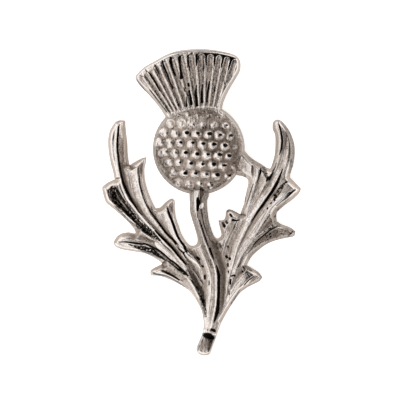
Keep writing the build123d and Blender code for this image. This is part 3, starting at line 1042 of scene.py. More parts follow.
            (50, 118, 2.2), (54, 131, 2.3), (57.5, 145, 2.35), (59, 153, 2.2))),
        Rib("right upper lobe", Flank(13, 1.8, 5), Flank(17, 0.3, 40), (
            (46, 71, 2.2), (50, 77, 2.5), (54, 83.5, 2.6), (58, 89.5, 2.62), (62.5, 97, 2.62),
            (66.5, 103, 2.62), (70.5, 109, 2.6), (75, 114, 2.55), (80.5, 119, 2.5), (84, 122.5, 2.45),
            (88, 126.5, 2.3), (93.5, 131.3, 2.1))),
        Rib("right middle lobe", Flank(13, 1.7, 5), Flank(17, 0.13, 31), (
            (30, 34, 2.35), (39.5, 60.5, 2.58), (46.8, 72, 2.62), (52, 79, 2.6), (60, 85.7, 2.5),
            (68, 90.6, 2.35), (75.5, 94.5, 2.1), (86, 94, 1.9), (93, 90, 1.6))),
        Rib("right lower lobe", Flank(13, 1.6, 5), Flank(17, 0.14, 52), (
            (19, 5, 2.0), (25.3, 15, 2.2), (32.3, 25, 2.38), (39.3, 34, 2.4), (46.3, 41, 2.3),
            (54, 46.5, 1.85))),
        # Curl
        Rib("inner lower lobe", Flank(3, 1.4, 12), Flank(3, 1.4, 12), (
            (22, 50, 1.9), (27, 70, 1.95), (30, 85, 2.0), (33, 96, 2.05))),
        Rib("curl's upper knob", Flank(38), Flank(38), ((31, 103, 2.3), (33, 104.5, 2.3))),
        Rib("curl's lower knob", Flank(38), Flank(38), ((23.5, 96.5, 2.2), (25, 98, 2.2))),
    )
    # Strokes over the ribs: fills from 0.45 to 0.6 tone faces brown, partly patina and partly painted shade;
    # higher fills are painted shade in black; fills below 0 are painted highlights
    strokes: tuple[Strokes, ...] = (
        # Faces toned dull brown, partly patina and partly painted shade: both sides of the stem, beside the
        # curl, the fourth lobe, right of the right midrib
        Strokes(0.0, 0.56,
            ((-8.5, 130, 0.6), (-8, 110, 0.5), (-4, 98, 0.5), (-1, 88, 0.5), (3, 76, 0.5), (8, 64, 0.5),
             (12, 54, 0.4))),
        Strokes(0.0, 0.6, ((4, 132, 0.9), (4, 112, 0.8), (7, 95, 0.7), (12, 82, 0.6), (19, 74, 0.6))),
        Strokes(0.0, 0.46,
            ((14, 52, 0.3), (15, 42, 0.5), (14.5, 25, 0.5), (13, 8, 0.5), (9, -4, 0.4)),
            ((31, 96, 0.5), (33, 88, 1.1), (33, 80, 1.1), (30, 70, 0.8), (27, 60, 0.4))),
        Strokes(0.0, 0.53,
            ((-36, 52, 0.4), (-28, 47.5, 0.5), (-20, 42, 0.5), (-12, 35.5, 0.45), (-7, 30, 0.3))),
        Strokes(0.0, 0.52,
            ((-40, 57.5, 0.3), (-33, 55, 0.65), (-24, 49.5, 0.8), (-15, 42.5, 0.75), (-8, 34, 0.5),
             (-3, 26, 0.25))),
        Strokes(0.0, 0.47, ((63, 107, 0.3), (58, 100, 0.5), (53, 92, 0.55), (49.5, 86, 0.4))),
        Strokes(0.0, 0.5, ((-76, 84, 0.3), (-66, 84, 0.5), (-58, 82, 0.5), (-50, 79, 0.4))),
        # Painted shade in brown on walls and undersides: right tip, bridge, upper, middle and lower lobe,
        # curl, stub
        Strokes(0.0, 0.58,
            ((81, 197, 0.2), (86, 191, 0.4), (90, 183, 0.6), (92, 175, 0.6), (92, 165, 0.6),
             (91, 156, 0.5), (89.5, 148, 0.3))),
        Strokes(0.0, 0.55,
            ((36, 169, 0.6), (44, 164.5, 0.6), (51, 159.5, 0.6), (58, 155, 0.55), (65, 151, 0.4)),
            ((36, 152, 0.5), (40, 147.5, 0.6), (46, 143, 0.4)),
            ((88, 121, 0.15), (82, 115, 0.3), (76, 109, 0.5), (73, 103, 0.8), (73, 98, 0.9),
             (79, 95.5, 0.5)),
            ((93, 87.5, 0.5), (88, 87.5, 0.9), (80, 87, 1.1), (72, 84, 1.1), (65, 80, 1.05),
             (58, 74.5, 0.9), (52, 69, 0.7), (48.5, 63, 0.4)),
            ((31, 15, 0.2), (38, 24, 0.3), (46, 31.5, 0.35), (54, 36.5, 0.4), (61, 42, 0.4),
             (58, 48, 0.4))),
        Strokes(0.0, 0.6, ((41, 106, 0.3), (36, 108.5, 0.4), (31, 110.5, 0.4), (27, 109, 0.3))),
        Strokes(0.0, 0.55, ((1.5, -16, 0.25), (-0.5, -21, 0.35), (-2.7, -28.5, 0.4))),
        Strokes(0.0, 0.53, ((15.8, -16, 0.25), (13.6, -22, 0.35), (11.5, -28.5, 0.4))),
        # Painted highlights: bright bands on the ribs, wiped clean
        Strokes(0.0, -1,
            ((-84, 189, 0.2), (-85.3, 178, 0.28), (-85, 165, 0.28), (-83, 150, 0.25), (-80, 138, 0.2),
             (-76.5, 128.5, 0.18), (-71.5, 120, 0.18), (-66, 112.5, 0.18), (-59, 104, 0.16),
             (-50, 94, 0.16), (-41, 84.5, 0.16), (-31, 74.5, 0.14))),
        Strokes(0.0, -0.5,
            ((-64, 148, 0.6), (-61, 132, 0.85), (-56, 118, 0.9), (-50, 105, 0.8), (-43, 95, 0.6),
             (-36, 86, 0.4))),
        Strokes(0.0, -0.8, ((-35, 109, 0.4), (-32, 98, 0.6), (-28.5, 88, 0.5), (-24.5, 81, 0.35))),
        Strokes(0.0, -1,
            ((-44, 77.5, 0.2), (-38, 71, 0.5), (-32, 64.5, 0.5), (-25, 57.8, 0.35), (-19, 52.5, 0.2)),
            ((76, 196, 0.14), (78.7, 188, 0.2), (79.5, 180, 0.2), (78.5, 170, 0.18), (76, 160, 0.16),
             (72.5, 150.5, 0.16)),
            ((48.3, 96, 0.2), (44.8, 90, 0.26), (41.6, 83, 0.28), (39, 75.7, 0.28), (36.2, 67.3, 0.28),
             (34, 60, 0.26), (31.5, 52, 0.2)),
            ((67, 90.8, 0.1), (60, 86.6, 0.15), (52.5, 80.5, 0.18), (47.5, 75, 0.18), (43.5, 69, 0.18),
             (40.5, 64, 0.16), (37.5, 57, 0.12)),
            ((93, 131.8, 0.12), (87, 126.8, 0.16), (81, 121, 0.2), (75, 115.5, 0.22), (70, 110, 0.25),
             (65.5, 104, 0.25), (61.5, 97.5, 0.25), (57.5, 90.5, 0.25), (53, 84, 0.2))),
        Strokes(0.0, -0.7,
            ((72, 137, 0.3), (66, 128, 0.5), (60, 119.5, 0.6), (54, 110.5, 0.7), (49, 100, 0.6),
             (44, 88, 0.3)),
            ((84, 129, 0.4), (78, 121, 0.4), (70, 112, 0.45), (62, 102, 0.45), (55, 93, 0.45),
             (49, 84, 0.45), (44, 76, 0.4), (39, 66, 0.3))),
        Strokes(0.0, -0.6,
            ((47.5, 154, 0.5), (48.5, 140, 0.5), (47.5, 128, 0.5), (46, 116, 0.4)),
            ((56.5, 143, 0.25), (55, 131, 0.45), (52, 119, 0.5), (49, 108, 0.4))),
        Strokes(0.0, -1, ((32.5, 51, 0.35), (35.5, 45.5, 0.45), (35, 38, 0.35))),
        Strokes(0.0, -0.6, ((44, 46, 0.35), (38, 38, 0.4), (31, 27, 0.35), (25, 17, 0.25))),
        # Left leaf: the big lobe's trough, cut and filled with painted shade, and two beads wiped clean as
        # painted highlights
        Strokes(-0.22, 0.69,
            ((-86.5, 131.5, 0.7), (-84, 125, 1.1), (-80.5, 118, 1.25), (-75, 111, 1.2), (-69, 104, 1.1),
             (-62, 97.5, 0.95), (-55, 92, 0.8), (-49, 87.5, 0.65), (-43.5, 83, 0.45), (-40, 80, 0.25))),
        Strokes(0.05, -0.4,
            ((-83.5, 128, 0.05), (-81, 122, 0.08), (-76, 115.5, 0.1), (-72, 110, 0.06)),
            ((-77, 108, 0.05), (-69, 100.5, 0.09), (-61, 94, 0.06))),
        # Painted shade lines in cuts beside its midrib
        Strokes(-0.06, 1,
            ((-80.5, 196, 0.08), (-81.2, 190, 0.2), (-82, 180, 0.22), (-81.9, 170, 0.2),
             (-80.6, 158, 0.2), (-79, 149, 0.22), (-76.8, 139, 0.26), (-73.7, 131, 0.28),
             (-70.7, 125, 0.26), (-67.5, 119, 0.22), (-64.5, 114.5, 0.18), (-61, 109, 0.14),
             (-57, 105, 0.06)),
            ((-45, 90, 0.1), (-42, 87, 0.24), (-38, 83, 0.28), (-33, 78, 0.28), (-28, 73, 0.28),
             (-25, 69.5, 0.26), (-22, 65.5, 0.24), (-19, 62, 0.2), (-15, 57.5, 0.2), (-13, 56, 0.1))),
        # Beside the first and the second inner lobe: painted shade in cuts, and beads wiped clean as painted
        # highlights
        Strokes(-0.06, 1,
            ((-61.6, 152.5, 0.06), (-60.5, 144, 0.1), (-60, 136, 0.13), (-58, 128, 0.14),
             (-55, 120, 0.14), (-52, 113.5, 0.15), (-48, 107, 0.16), (-44, 101.5, 0.17), (-40, 96, 0.2),
             (-35, 89, 0.24), (-31, 84.5, 0.26), (-27, 81, 0.28), (-23, 76, 0.3), (-19.5, 71.5, 0.34),
             (-16, 68, 0.3), (-14, 63, 0.15)),
            ((-33, 114, 0.1), (-31, 107, 0.24), (-28, 100, 0.26), (-26, 95, 0.26), (-24, 89, 0.28),
             (-22, 84, 0.28), (-19, 79, 0.26), (-16, 75, 0.28), (-14, 70, 0.26), (-12.5, 68, 0.12))),
        Strokes(-0.1, 1,
            ((-3.5, 64, 0.1), (-2, 62.5, 0.26), (-0.5, 61, 0.2)), ((2, 55, 0.14), (3, 54, 0.22)),
            ((4.8, 45, 0.2), (5, 42, 0.22))),
        Strokes(-0.05, 0.8, ((9, 40, 0.12), (9, 36, 0.16))),
        Strokes(0.07, -1, ((-23, 75.5, 0.18), (-18.5, 72, 0.26), (-16, 69.5, 0.2))),
        Strokes(0.1, -1,
            ((-14.5, 66.8, 0.24), (-11, 63, 0.42), (-6.5, 60, 0.4), (-2.5, 57, 0.28), (0, 53, 0.2))),
        Strokes(0.05, -1, ((-9, 57, 0.16), (-4, 50, 0.22), (0, 43, 0.16))),
        Strokes(0.06, -1, ((-11, 31, 0.2), (-8.5, 28, 0.24), (-5, 22, 0.2))),
        # Third lobe: painted shade in cuts
        Strokes(-0.06, 1,
            ((-81, 78.5, 0.1), (-73, 78.5, 0.16), (-66, 77.5, 0.2), (-59, 76.5, 0.2), (-54, 76.5, 0.18),
             (-50, 74.7, 0.18), (-44, 71.5, 0.18), (-40, 69.5, 0.2), (-35, 65.5, 0.2), (-30, 61, 0.22),
             (-25, 57.5, 0.22), (-20, 53, 0.24), (-15, 48, 0.24), (-12, 45, 0.14))),
        Strokes(-0.04, 0.76,
            ((-71, 76, 0.12), (-64, 74, 0.3), (-56, 71.5, 0.66), (-48, 68.5, 0.7), (-41, 64.5, 0.45),
             (-34, 60.5, 0.2), (-28, 56.5, 0.15), (-20, 50, 0.15), (-15, 45.5, 0.1))),
        # Fourth lobe: painted shade in cuts, and a bead wiped clean as a painted highlight
        Strokes(-0.06, 1, ((-38, 50, 0.14), (-32, 47, 0.2), (-27, 44.5, 0.2), (-21, 40.5, 0.16))),
        Strokes(-0.06, 0.97,
            ((-47, 47.5, 0.16), (-42, 46, 0.2), (-35, 45, 0.16), (-28, 42, 0.12), (-20, 37, 0.1),
             (-13, 31, 0.1))),
        Strokes(0.03, -1,
            ((-16, 45.5, 0.08), (-12.5, 42.3, 0.14), (-8, 36, 0.14), (-4.5, 30, 0.14), (-1.5, 24.5, 0.1))),
        # Foot of the leaf: painted shade in cuts, and a face toned dull brown
        Strokes(-0.06, 0.74, ((-10, 42, 0.12), (-6, 37, 0.16), (-3, 33, 0.16), (-1, 29.5, 0.16))),
        Strokes(-0.1, 0.72,
            ((0.5, 25, 0.3), (1.5, 22, 0.45), (3, 17, 0.5), (4.5, 11, 0.42), (6, 4.5, 0.22))),
        Strokes(0.0, 0.56,
            ((-13, 50, 0.35), (-8, 44, 0.6), (-3.5, 38, 0.75), (0, 31, 0.6), (3, 24, 0.5), (4.5, 14, 0.4))),
        # Stem: painted shade lines in cuts, a face toned dull brown, and a knob and a bead wiped clean as
        # painted highlights
        Strokes(-0.1, 0.97, ((-2.2, 122, 0.25), (-1.8, 117, 0.4), (-2.4, 110, 0.2))),
        Strokes(-0.06, 1,
            ((-0.8, 100, 0.13), (0.6, 96, 0.15), (2.4, 91, 0.14), (4, 86, 0.14), (6, 80, 0.14),
             (8, 74.5, 0.14)),
            ((9.5, 72, 0.26), (10.5, 68, 0.3), (12, 64.5, 0.26), (13.5, 61, 0.1)),
            ((16, 55, 0.14), (17.7, 50, 0.28), (18.5, 45, 0.32), (18.7, 37, 0.28), (18.5, 28, 0.3),
             (18, 20, 0.36), (17.5, 13, 0.4), (16.5, 7, 0.38), (15, 2, 0.26), (14.3, -1, 0.12))),
        Strokes(0.0, 0.52,
            ((2, 122, 0.5), (5, 103, 0.6), (11, 86, 0.6), (17, 70, 0.6), (21.5, 56, 0.65), (23, 40, 0.6),
             (22.5, 20, 0.55), (20, 8, 0.4))),
        Strokes(0.2, -1, ((0.9, 113.2, 0.32), (2, 115.4, 0.36))),
        Strokes(0.03, -1,
            ((-4.4, 121, 0.1), (-4.5, 111, 0.12), (-2.8, 103, 0.16), (-0.6, 96, 0.14), (1.4, 89, 0.12),
             (3.9, 82.3, 0.12), (7, 74, 0.12), (10, 66, 0.14), (13.4, 58.5, 0.16), (15.6, 51, 0.16),
             (16.4, 40, 0.16), (16.3, 28, 0.14), (15.6, 16, 0.14), (13.8, 6, 0.14), (11.5, -3, 0.12))),
        # Tail: faces toned brown, a ledge and the lower edge wiped clean as painted highlights, and painted
        # shade below the ledge and in a spot
        Strokes(0.0, 0.5, ((7.5, -21, 1.2), (6, -26, 1.2), (5, -29, 1.1))),
        Strokes(0.2, -1, ((3.6, -10.6, 0.25), (7.8, -10.4, 0.3), (11.8, -12, 0.26), (15.4, -13.4, 0.2))),
        Strokes(-0.1, 0.86, ((4, -14, 0.4), (8, -15, 0.66), (11.8, -16.8, 0.52))),
        Strokes(0.0, 0.58, ((10.8, -20, 0.3), (10.2, -25, 0.3), (8.6, -29, 0.25))),
        Strokes(-0.12, 1, ((11.6, -8.6, 0.3), (14, -9.8, 0.36))),
        Strokes(0.1, -1, ((0, -30.5, 0.25), (4, -31.8, 0.32), (8, -31, 0.25))),
        # Right leaf: tip, with painted shade lines in cuts and a face toned dull brown
        Strokes(-0.06, 1,
            ((78, 198, 0.1), (79.5, 192, 0.18), (80.8, 186, 0.22), (81.6, 179, 0.24), (81, 172, 0.22),
             (79, 165.5, 0.1))),
        Strokes(0.0, 0.51,
            ((83, 188, 0.3), (85.5, 182, 0.55), (88.5, 175, 0.7), (90.5, 167, 0.6), (91.5, 158, 0.45))),
        Strokes(-0.06, 1,
            ((90.8, 160, 0.12), (90.9, 158.5, 0.14)),
            ((76.3, 158, 0.06), (75, 153, 0.1), (73.3, 150, 0.2), (71.3, 145.5, 0.2), (69, 142, 0.34),
             (67.5, 141.5, 0.34), (66.3, 138.5, 0.12))),
        # Bridge: painted shade in cuts and beside its end
        Strokes(-0.1, 1, ((60.5, 151.5, 0.2), (60.2, 148, 0.25), (58.5, 143, 0.12), (56.8, 137, 0.07))),
        Strokes(-0.06, 0.64, ((61.8, 152, 0.35), (64, 149, 0.5), (66.5, 143.5, 0.35))),
        Strokes(-0.04, 0.9, ((52.5, 155, 0.08), (51.5, 148, 0.1))),
        Strokes(-0.04, 0.85, ((53, 136, 0.12), (50.5, 129, 0.12), (48.5, 122, 0.12), (46, 114, 0.08))),
        Strokes(-0.04, 0.8, ((45.2, 125, 0.14), (44.8, 119, 0.14))),
        # Its midrib: painted shade lines and pits in cuts, and a face toned dull brown
        Strokes(-0.08, 1,
            ((82.3, 151, 0.1), (80, 145, 0.2), (78, 140, 0.3), (75.5, 135, 0.34), (72, 129, 0.32),
             (68.5, 124, 0.3), (65, 119, 0.32), (61.5, 114, 0.3), (58, 109.5, 0.24), (54.5, 104, 0.18),
             (51.3, 99, 0.1))),
        Strokes(-0.15, 1, ((84.5, 137, 0.12), (86.3, 138.3, 0.24))),
        Strokes(-0.06, 0.66, ((83.5, 136, 0.3), (80, 131.5, 0.5), (76.5, 125, 0.4), (74, 121, 0.25))),
        Strokes(-0.1, 1, ((74.2, 121, 0.16), (74.5, 120, 0.2))),
        Strokes(-0.1, 0.97,
            ((74.8, 125.5, 0.2), (74, 125, 0.2)), ((71.5, 117.5, 0.12), (70.8, 116.8, 0.14)),
            ((67.5, 112.5, 0.14), (67.2, 111.5, 0.16))),
        Strokes(0.0, 0.5, ((70.5, 137, 0.35), (68, 132, 0.5), (64, 126, 0.4))),
        # Upper lobe: painted shade in cuts, and a face toned dull brown
        Strokes(-0.06, 1,
            ((94.8, 130.5, 0.16), (90, 126.5, 0.22), (86, 122.5, 0.22), (82, 119.5, 0.14),
             (76, 114.5, 0.08))),
        Strokes(0.0, 0.48, ((80, 115.5, 0.3), (75.5, 110, 0.5), (72.5, 104, 0.6), (74, 98, 0.45))),
        Strokes(-0.1, 1,
            ((78.4, 111.2, 0.12), (78, 110.6, 0.12)), ((75.6, 104.6, 0.14), (74.4, 103.6, 0.14))),
        # Middle lobe: painted shade in cuts and pits, and in brown on its underside
        Strokes(-0.06, 0.97,
            ((77, 94, 0.12), (70, 90.5, 0.16), (63, 85, 0.14), (57, 80, 0.14), (53, 75.5, 0.1))),
        Strokes(-0.08, 1,
            ((70, 87, 0.14), (69, 86, 0.12)), ((70.5, 84, 0.16), (70, 83.4, 0.14)),
            ((67.5, 81, 0.12), (67, 80.6, 0.12)), ((92.5, 89, 0.12), (88, 84.5, 0.12))),
        Strokes(0.0, 0.47, ((90, 90, 0.4), (80, 88, 0.6), (70, 84, 0.6), (60, 77, 0.55), (53, 70, 0.45))),
        Strokes(-0.06, 1, ((43, 65, 0.05), (40.5, 59, 0.09), (38, 54, 0.12))),
        # Lower lobe: painted shade in brown on its face and in black in cuts
        Strokes(-0.06, 0.62, ((43.5, 54, 0.3), (47, 52.5, 0.38), (51, 50, 0.3))),
        Strokes(-0.1, 1, ((42.3, 49.2, 0.2), (43, 48.6, 0.2))),
        Strokes(-0.1, 0.97, ((42.5, 53.2, 0.12), (44, 52, 0.12))),
        Strokes(-0.06, 1, ((53.5, 44, 0.12), (48.5, 40.5, 0.15), (44, 35.5, 0.12))),
        Strokes(-0.04, 0.85, ((40, 31, 0.1), (36, 24.5, 0.12), (31, 17, 0.1))),
        # Holes along its foot, cut and filled with painted shade
        Strokes(-0.15, 1,
            ((31.3, 44.7, 0.14), (34.6, 45.5, 0.24)), ((30.5, 41, 0.22), (30.3, 36.5, 0.16)),
            ((26.4, 64.3, 0.24), (27, 63, 0.2)), ((29.8, 62.4, 0.22), (30, 61.4, 0.22))),
        Strokes(-0.1, 0.97, ((28, 57, 0.16), (27.8, 54, 0.14)), ((28.4, 49.5, 0.15), (28.6, 47.8, 0.12))),
        Strokes(-0.08, 0.8, ((27.8, 74.2, 0.18), (28.4, 73.2, 0.18))),
        Strokes(-0.08, 0.7, ((29, 29.5, 0.16), (29.5, 26, 0.14))),
        # Curl: pits and a cut filled with painted shade, and a face toned brown
        Strokes(-0.4, 1, ((30.3, 105.6, 0.28), (31.5, 104.2, 0.24))),
        Strokes(-0.3, 1, ((33, 100.4, 0.3), (36, 99.8, 0.18), (39.5, 100.3, 0.1))),
        Strokes(-0.4, 1, ((22.8, 97, 0.3), (24.2, 94.2, 0.34)), ((26.3, 99, 0.24), (26.8, 97.6, 0.28))),
        Strokes(-0.04, 0.6, ((35.5, 96, 0.14), (33.5, 91, 0.12))),
    )

    def relief(self, places: np.ndarray) -> Relief:
        """Join the ribs over a level ground, let the whole swell a little, and draw the strokes.

        Args:
            places: One row a place: x, y in mm.

        Returns:
            Heights, grain, and tarnish and painted light.
        """
        height = np.full(len(places), self.ground)
        grain = places.copy()
        for rib in self.ribs:
            top, lines = rib.relief(places)
            higher = top > height
            grain[higher] = lines[higher]
            height = soft_max(height, top, self.blend)
        height = height + sum(swell.at(places) for swell in self.swells)
        height, tarnish_and_painted_light = draw_strokes(places, height, np.zeros(len(places)), self.strokes)
        return height, grain, tarnish_and_painted_light

    def build(self) -> bpy.types.Object:
        """Build the relief of leaves, stem and tail."""
        return ReliefSheet("leaves_and_stem", Outline(self.outline), self.relief).build()


# Globe

@dataclass
class Globe:
    """The studded bulb: a shallow dome on a drafted wall, as in the part's source.

    Fades are over mm from its middle, to the right, up or outwards, over mm from
    the nearest stud's top, or over how far that stud stands proud.
    """

    middle: tuple[float, float] = (-0.24, 34.33)
    radius: float = 9.2
    circle_points: int = 73
    wall: float = 1.9
    rise: float = 5.4
    draft: float = 0.6
    grid_pitch: float = 0.075
    wear: float = 0.45

    # Studs: their shape, their staggered rows, and how far each is off by hand
    stud_slope: float = 0.95
    stud_tip: float = 0.46
    stud_proud: float = 0.58
    stud_pitch: float = 2.19
    row_pitch: float = 2.0
    stud_margin: float = 0.35
    stud_offset: tuple[float, float] = (0.64, 0.7)
    lean: float = 3.2
    hand_seed: int = 5
    hand_across: float = 0.09
    hand_up: float = 0.07
    hand_proud: float = 0.12

    # How much lower the studs are worn to the right, at the top and at the bottom
    worn_right: Fade = Fade(4.6, 8.0, 0.3)
    worn_top: Fade = Fade(3.9, 4.9, 0.4)
    worn_bottom: Fade = Fade(-5.6, -6.8, 0.26)

    # The rough skin between the studs, its share on them, and their uneven width
    skin: tuple[Swell, ...] = (Swell(0.75, 7, 0.07), Swell(0.36, 8, 0.05))
    skin_drop: float = 0.05
    skin_on_studs: float = 0.25
    stud_blend: float = 0.08
    stud_swell: Swell = Swell(0.8, 9, 0.22)

    # The painted dark reflection beside each stud's top, a black spot, smaller on the left and on low
    # studs, and the half width and the value below which there is none
    spot_across: float = 0.26
    spot_up: float = 0.2
    spot_half: float = 0.44
    spot_squeeze: float = 1.4
    least_spot: float = 0.05
    spot_from_left: Fade = Fade(-6.5, -2.5)
    spot_if_proud: Fade = Fade(0.22, 0.48)
    spot_swell: Swell = Swell(0.7, 10, 0.35)
    spot_shift: Swell = Swell(1.7, 13, 0.08)

    # Dull skin between the studs, more of it on the left, painted shade on the right and on the rim
    # below, and a darker top
    between: float = 0.5
    between_from: Fade = Fade(0.76, 1.01)
    to_left: Fade = Fade(-2.0, -5.0)
    left_more: float = 0.05
    left_nearer: float = 0.06
    painted_shade_right: Fade = Fade(5.2, 6.7, 0.53)
    darker_top: Fade = Fade(5.2, 6.6, 0.53)
    darkening_inside: Fade = Fade(8.3, 8.0)
    painted_shade_rim: Fade = Fade(7.4, 8.2, 0.56)
    painted_shade_below: Fade = Fade(-2.5, -5.5)

    # The painted highlight on the lit side of each stud, wiped clean: which way the shaded side looks,
    # how sharply the two part at the stud's middle, how near the top it is, and on which studs
    shaded_way: tuple[float, float] = (0.86, 0.5)
    highlight_sharpness: float = 1.8
    highlight_near: Fade = Fade(0.62, 0.37, 0.9)
    highlight_if_proud: Fade = Fade(0.2, 0.4)

    def studs(self) -> np.ndarray:
        """Place the studs in staggered rows that lean a little, each set a little off by hand.

        Returns:
            One row a stud: x, y from the middle and how far it stands proud, in mm.
        """
        reach = self.radius - self.draft - self.stud_margin
        rows = int(reach / self.row_pitch) + 1
        row, step = np.meshgrid(np.arange(-rows, rows + 1), np.arange(-rows, rows + 1), indexing="ij")
        stagger = np.where(row % 2 == 1, self.stud_pitch / 2, 0.0)
        x = step * self.stud_pitch + stagger + self.stud_offset[0]
        y = row * self.row_pitch + self.stud_offset[1]
        kept = np.hypot(x, y) < reach
        x, y = x[kept], y[kept]
        turn = math.radians(-self.lean)
        x, y = x * math.cos(turn) - y * math.sin(turn), x * math.sin(turn) + y * math.cos(turn)
        hand = np.random.default_rng(self.hand_seed).uniform(-1, 1, (3, len(x)))
        worn = self.worn_right.at(x) + self.worn_top.at(y) + self.worn_bottom.at(y)
        proud = self.stud_proud * (1 + self.hand_proud * hand[2]) - worn
        return np.column_stack([x + self.hand_across * hand[0], y + self.hand_up * hand[1], proud])

    def spots(self, places: np.ndarray, local: np.ndarray, stud: np.ndarray) -> np.ndarray:
        """Draw painted dark reflections beside the tops of the studs, as black soft-edged ovals with uneven
        rims.

        Args:
            places: One row a place: x, y in mm.
            local: The same from the globe's middle.
            stud: One row a place: its nearest stud's x, y and how far it stands proud.

        Returns:
            Painted black, from 0 outside the spots to 1.
        """
        half = self.spot_half * self.spot_from_left.at(stud[:, 0]) * self.spot_if_proud.at(stud[:, 2])
        across = local[:, 0] - stud[:, 0] - self.spot_across
        up = (local[:, 1] - stud[:, 1] - self.spot_up) * self.spot_squeeze
        off = np.hypot(across, up) * (1 + self.spot_swell.at(places)) + self.spot_shift.at(places)
        return SOFT_EDGE.at(half - off) * (half > self.least_spot)

    def tarnish_and_painted_light(
        self, places: np.ndarray, local: np.ndarray, stud: np.ndarray, away: np.ndarray
    ) -> np.ndarray:
        """Lay the dull skin, the painted shade on the right and below and the darker top, paint highlights
        on the lit sides of the studs, and draw the painted dark spots.

        Args:
            places: One row a place: x, y in mm.
            local: The same from the globe's middle.
            stud: One row a place: its nearest stud's x, y and how far it stands proud.
            away: How far each place is from its stud's top.

        Returns:
            Tarnish and painted light, from -1, a painted highlight wiped clean, to 1, painted black.
        """
        left = self.to_left.at(local[:, 0])
        between = self.between_from.at(away + self.left_nearer * left)
        between = between * (self.between + self.left_more * left)
        outward = np.hypot(*local.T)
        # Painted shade on the right and on the lower rim, and a darker top, joined with the dull skin between
        # the studs
        dull = np.maximum(self.painted_shade_right.at(local[:, 0]), self.darker_top.at(local[:, 1]))
        below = self.painted_shade_rim.at(outward) * self.painted_shade_below.at(local[:, 1])
        dull = np.maximum(between, np.maximum(dull * self.darkening_inside.at(outward), below))
        # A painted highlight, wiped clean, on the lit lower left side of each stud
        toward = (local - stud[:, :2]) @ np.array(self.shaded_way)
        at_middle = 0.5
        painted_highlight = ease(at_middle - self.highlight_sharpness * toward) * self.highlight_near.at(away)
        painted_highlight = painted_highlight * self.highlight_if_proud.at(stud[:, 2])
        # Painted dark reflections: black spots beside the tops of the studs
        spots = self.spots(places, local, stud)
        return np.where(spots > self.least_spot, spots, dull * (1 - painted_highlight) - painted_highlight)

    def relief(self, places: np.ndarray) -> Relief:
        """Work out the dome, a cap of a sphere with a rough skin, and the highest stud at each place.

        A stud is a rounded cone: it falls from its top by the square root of the
        distance's square plus the tip's square, less the tip, times its slope.

        Args:
            places: One row a place: x, y in mm.

        Returns:
            Heights, grain, and tarnish and painted light.
        """
        foot = self.radius - self.draft
        cap_rise = self.rise - self.wall
        cap_radius = (foot**2 + cap_rise**2) / (2 * cap_rise)
        local = places - np.array(self.middle)
        dome = self.rise - cap_radius + np.sqrt(cap_radius**2 - (local**2).sum(1))
        studs = self.studs()
        away2 = ((local[:, None] - studs[None, :, :2]) ** 2).sum(2)
        best = away2.argmin(1)
        away = np.sqrt(away2[np.arange(len(local)), best]) * (1 + self.stud_swell.at(places))
        fall = self.stud_slope * (np.sqrt(away**2 + self.stud_tip**2) - self.stud_tip)
        rough = sum(swell.at(places) for swell in self.skin)
        stud = dome + studs[best, 2] - fall + self.skin_on_studs * rough
        height = soft_max(dome - self.skin_drop + rough, stud, self.stud_blend)
        return height, places, self.tarnish_and_painted_light(places, local, studs[best], away)

    def outline(self) -> Outline:
        """Draw the globe's circle.

        Returns:
            The outline, one side that goes round.
        """
        turn = np.linspace(0, 2 * math.pi, self.circle_points)
        circle = np.column_stack([np.cos(turn), -np.sin(turn)]) * self.radius + np.array(self.middle)
        steep = math.degrees(math.atan(self.wall / self.draft))
        return Outline((Side(steep, tuple(map(tuple, circle / SQUARE))),))

    def build(self) -> bpy.types.Object:
        """Build the studded globe."""
        return ReliefSheet("globe", self.outline(), self.relief, self.grid_pitch, wear=self.wear).build()


# Flower

